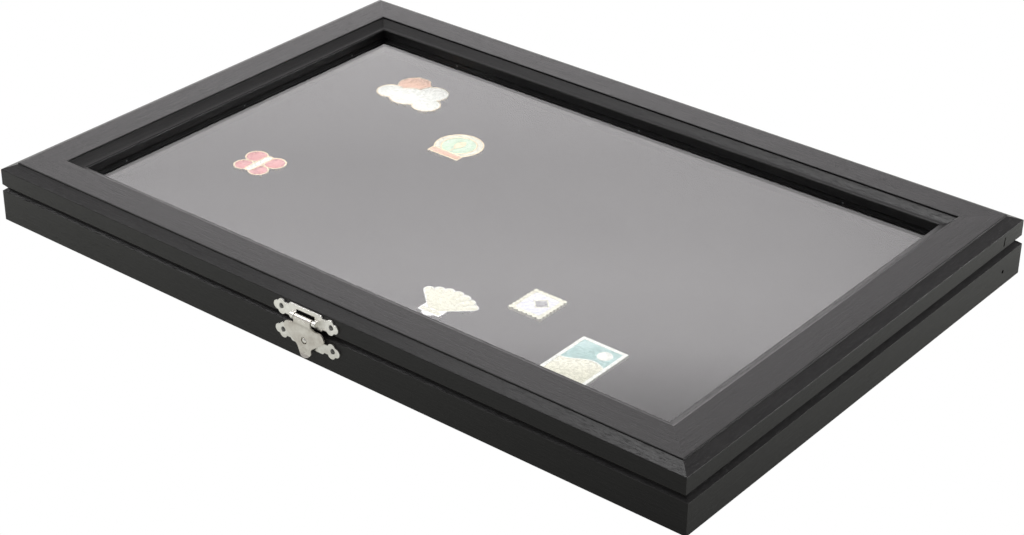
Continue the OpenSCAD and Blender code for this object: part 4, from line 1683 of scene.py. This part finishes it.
@dataclass
class Surroundings:
    """A dim room with a wide white screen behind the case, opposite the camera.

    Args:
        dim: How bright the room is on the camera's side.
        sides: How bright it is to both sides.
        sides_at: The cosines of the angles from the screen's middle where that starts and is full.
        upper: How bright it is overhead.
        upper_at: The heights, as sines of the elevation, where that starts and is full.
        screen: The screen's radiance at a few elevations in degrees.
        middle: The azimuth of the screen's middle, in degrees from +Y towards -X.
        half_width: How far the screen is fully bright to each side of it, in degrees.
        fade: How far out from the middle it has faded to nothing, in degrees.
        tint: The colour of all of it.
        zenith: What the square of a height is taken from, a little over 1, so that none is divided by 0.
    """

    dim: float = 0.22
    sides: float = 0.6
    sides_at: Pair = (-0.5, 0.17)
    upper: float = 0.45
    upper_at: Pair = (0.35, 0.75)
    screen: Sequence[Pair] = (
        (0, 1.1), (12, 2.2), (20, 2.7), (24.5, 1.2), (27, 1.12), (28.5, 1.34),
        (30, 1.62), (31.5, 1.62), (33, 0.8), (34.5, 0.45), (38, 0.1), (46, 0.0),
    )
    middle: float = 42.5
    half_width: float = 5.0
    fade: float = 27.0
    tint: Colour = (1.017, 0.984, 0.999)
    zenith: float = 1.0001

    def glow(self, tree: ShadeTree, height: Socket, turn: Socket) -> Socket:
        """How bright the screen is.

        Args:
            tree: The world's tree.
            height: The sine of the elevation.
            turn: The cosine of the angle from the screen's middle, seen from above.

        Returns:
            The radiance.
        """
        brightest = max(level for _, level in self.screen)
        stops = [(math.sin(math.radians(up)), (level / brightest,) * 3) for up, level in self.screen]
        column = tree.maths("MULTIPLY", tree.shades(height, *stops), brightest)
        edges = (math.cos(math.radians(angle)) for angle in (self.fade, self.half_width))
        return tree.maths("MULTIPLY", column, tree.step(turn, *edges))

    def build(self) -> bpy.types.World:
        """Makes the world. The camera itself sees plain white.

        Returns:
            The world.
        """
        world = bpy.data.worlds.new("surroundings")
        tree = ShadeTree(world)
        place = tree.node("ShaderNodeTexCoord").outputs["Generated"]
        toward = direction(self.middle, 0)
        along = tree.node("ShaderNodeVectorMath", {0: place, 1: toward}, operation="DOT_PRODUCT")
        height = tree.parts(place)[2]
        flat = tree.maths("SQRT", tree.maths("SUBTRACT", self.zenith, tree.maths("MULTIPLY", height, height)))
        turn = tree.maths("DIVIDE", along.outputs["Value"], flat)
        beside = tree.step(turn, *self.sides_at, self.sides - self.dim)
        over = tree.step(height, *self.upper_at, self.upper - self.dim)
        level = tree.maths("ADD", self.glow(tree, height, turn), tree.maths("MAXIMUM", beside, over))
        level = tree.maths("ADD", level, self.dim)
        room = tree.node("ShaderNodeBackground", {"Color": (*self.tint, 1), "Strength": level}).outputs[0]
        white = tree.node("ShaderNodeBackground", {"Color": (1, 1, 1, 1)}).outputs[0]
        tree.finish("World", tree.by_ray("Is Camera Ray", room, white))
        bpy.context.scene.world = world
        return world


@dataclass
class Studio:
    """The floor, the lamps, the surroundings and the camera.

    Args:
        azimuth: The camera's direction, in degrees from +Y towards -X.
        elevation: Its height, in degrees.
        roll: Its turn about its own axis, in degrees.
        distance: Its distance from the target, in metres.
        target: The point that it looks at.
        lens: Its focal length in mm, on a sensor of the given width.
        sensor: The width of its sensor in mm.
        clip: The distances between which it sees.
        floor_size: The length of the floor's sides, in metres.
        floor_down: How far the floor is under the case.
        surroundings: What stands round the case.
        lamps: The lamps over it.
    """

    azimuth: float = 218.512
    elevation: float = 29.66
    roll: float = 0.803
    distance: float = 1.013671
    target: Point = (0.015081, -0.01302, 0.0)
    lens: float = 79.974
    sensor: float = 36.0
    clip: Pair = (0.01, 100)
    floor_size: float = 40.0
    floor_down: float = 0.02 * MM
    surroundings: Surroundings = field(default_factory=Surroundings)
    lamps: Sequence[Softbox] = (
        Softbox("overhead_lamp", 74, 78, 1.8, (0.8, 0.8), 10.0),
        Softbox("left_lamp", 116, 41, 1.8, (0.5, 0.5), 6.0),
        Softbox("right_lamp", -46, 8.5, 1.8, (0.6, 0.3), 16.0),
    )

    def camera(self) -> Piece:
        """Makes the camera and gives it to the scene.

        Returns:
            The camera.
        """
        back = direction(self.azimuth, self.elevation)
        right = Vector((0, 0, 1)).cross(back).normalized()
        over, roll = back.cross(right), math.radians(self.roll)
        turned_right = math.cos(roll) * right + math.sin(roll) * over
        axes = Matrix((turned_right, back.cross(turned_right), back)).transposed()
        data = bpy.data.cameras.new("camera")
        data.sensor_fit = "HORIZONTAL"
        data.sensor_width = self.sensor
        data.lens = self.lens
        data.clip_start, data.clip_end = self.clip
        camera = add_object("camera", data)
        camera.matrix_world = Matrix.Translation(Vector(self.target) + back * self.distance) @ axes.to_4x4()
        bpy.context.scene.camera = camera
        return camera

    def floor(self) -> Piece:
        """Makes the floor, just under the case.

        Returns:
            The floor.
        """
        bm = bmesh.new()
        bmesh.ops.create_grid(bm, x_segments=8, y_segments=8, size=self.floor_size / 2)
        bmesh.ops.translate(bm, verts=bm.verts, vec=(0, 0, -self.floor_down))
        floor = new_object("paper_floor", bm, [PAPER])
        return floor

    def build(self) -> None:
        """Sets up the whole studio."""
        self.camera()
        self.floor()
        self.surroundings.build()
        for lamp in self.lamps:
            lamp.build()
        bpy.context.scene.view_settings.view_transform = "Standard"


def main() -> None:
    """Builds the case's sub-assemblies in order, and the studio round it."""
    logging.basicConfig(level=logging.INFO, format="%(message)s")
    Studio().build()
    frames = RailFrame("lid", Body.LID, Land()), RailFrame("base", Body.BASE)
    for part in (*frames, Glazing(), Latch(), Hardware(), Pad(), Badges()):
        pieces = part.build()
        log.info("%s: %d pieces", type(part).__name__, len(pieces))


if __name__ == "__main__":
    main()
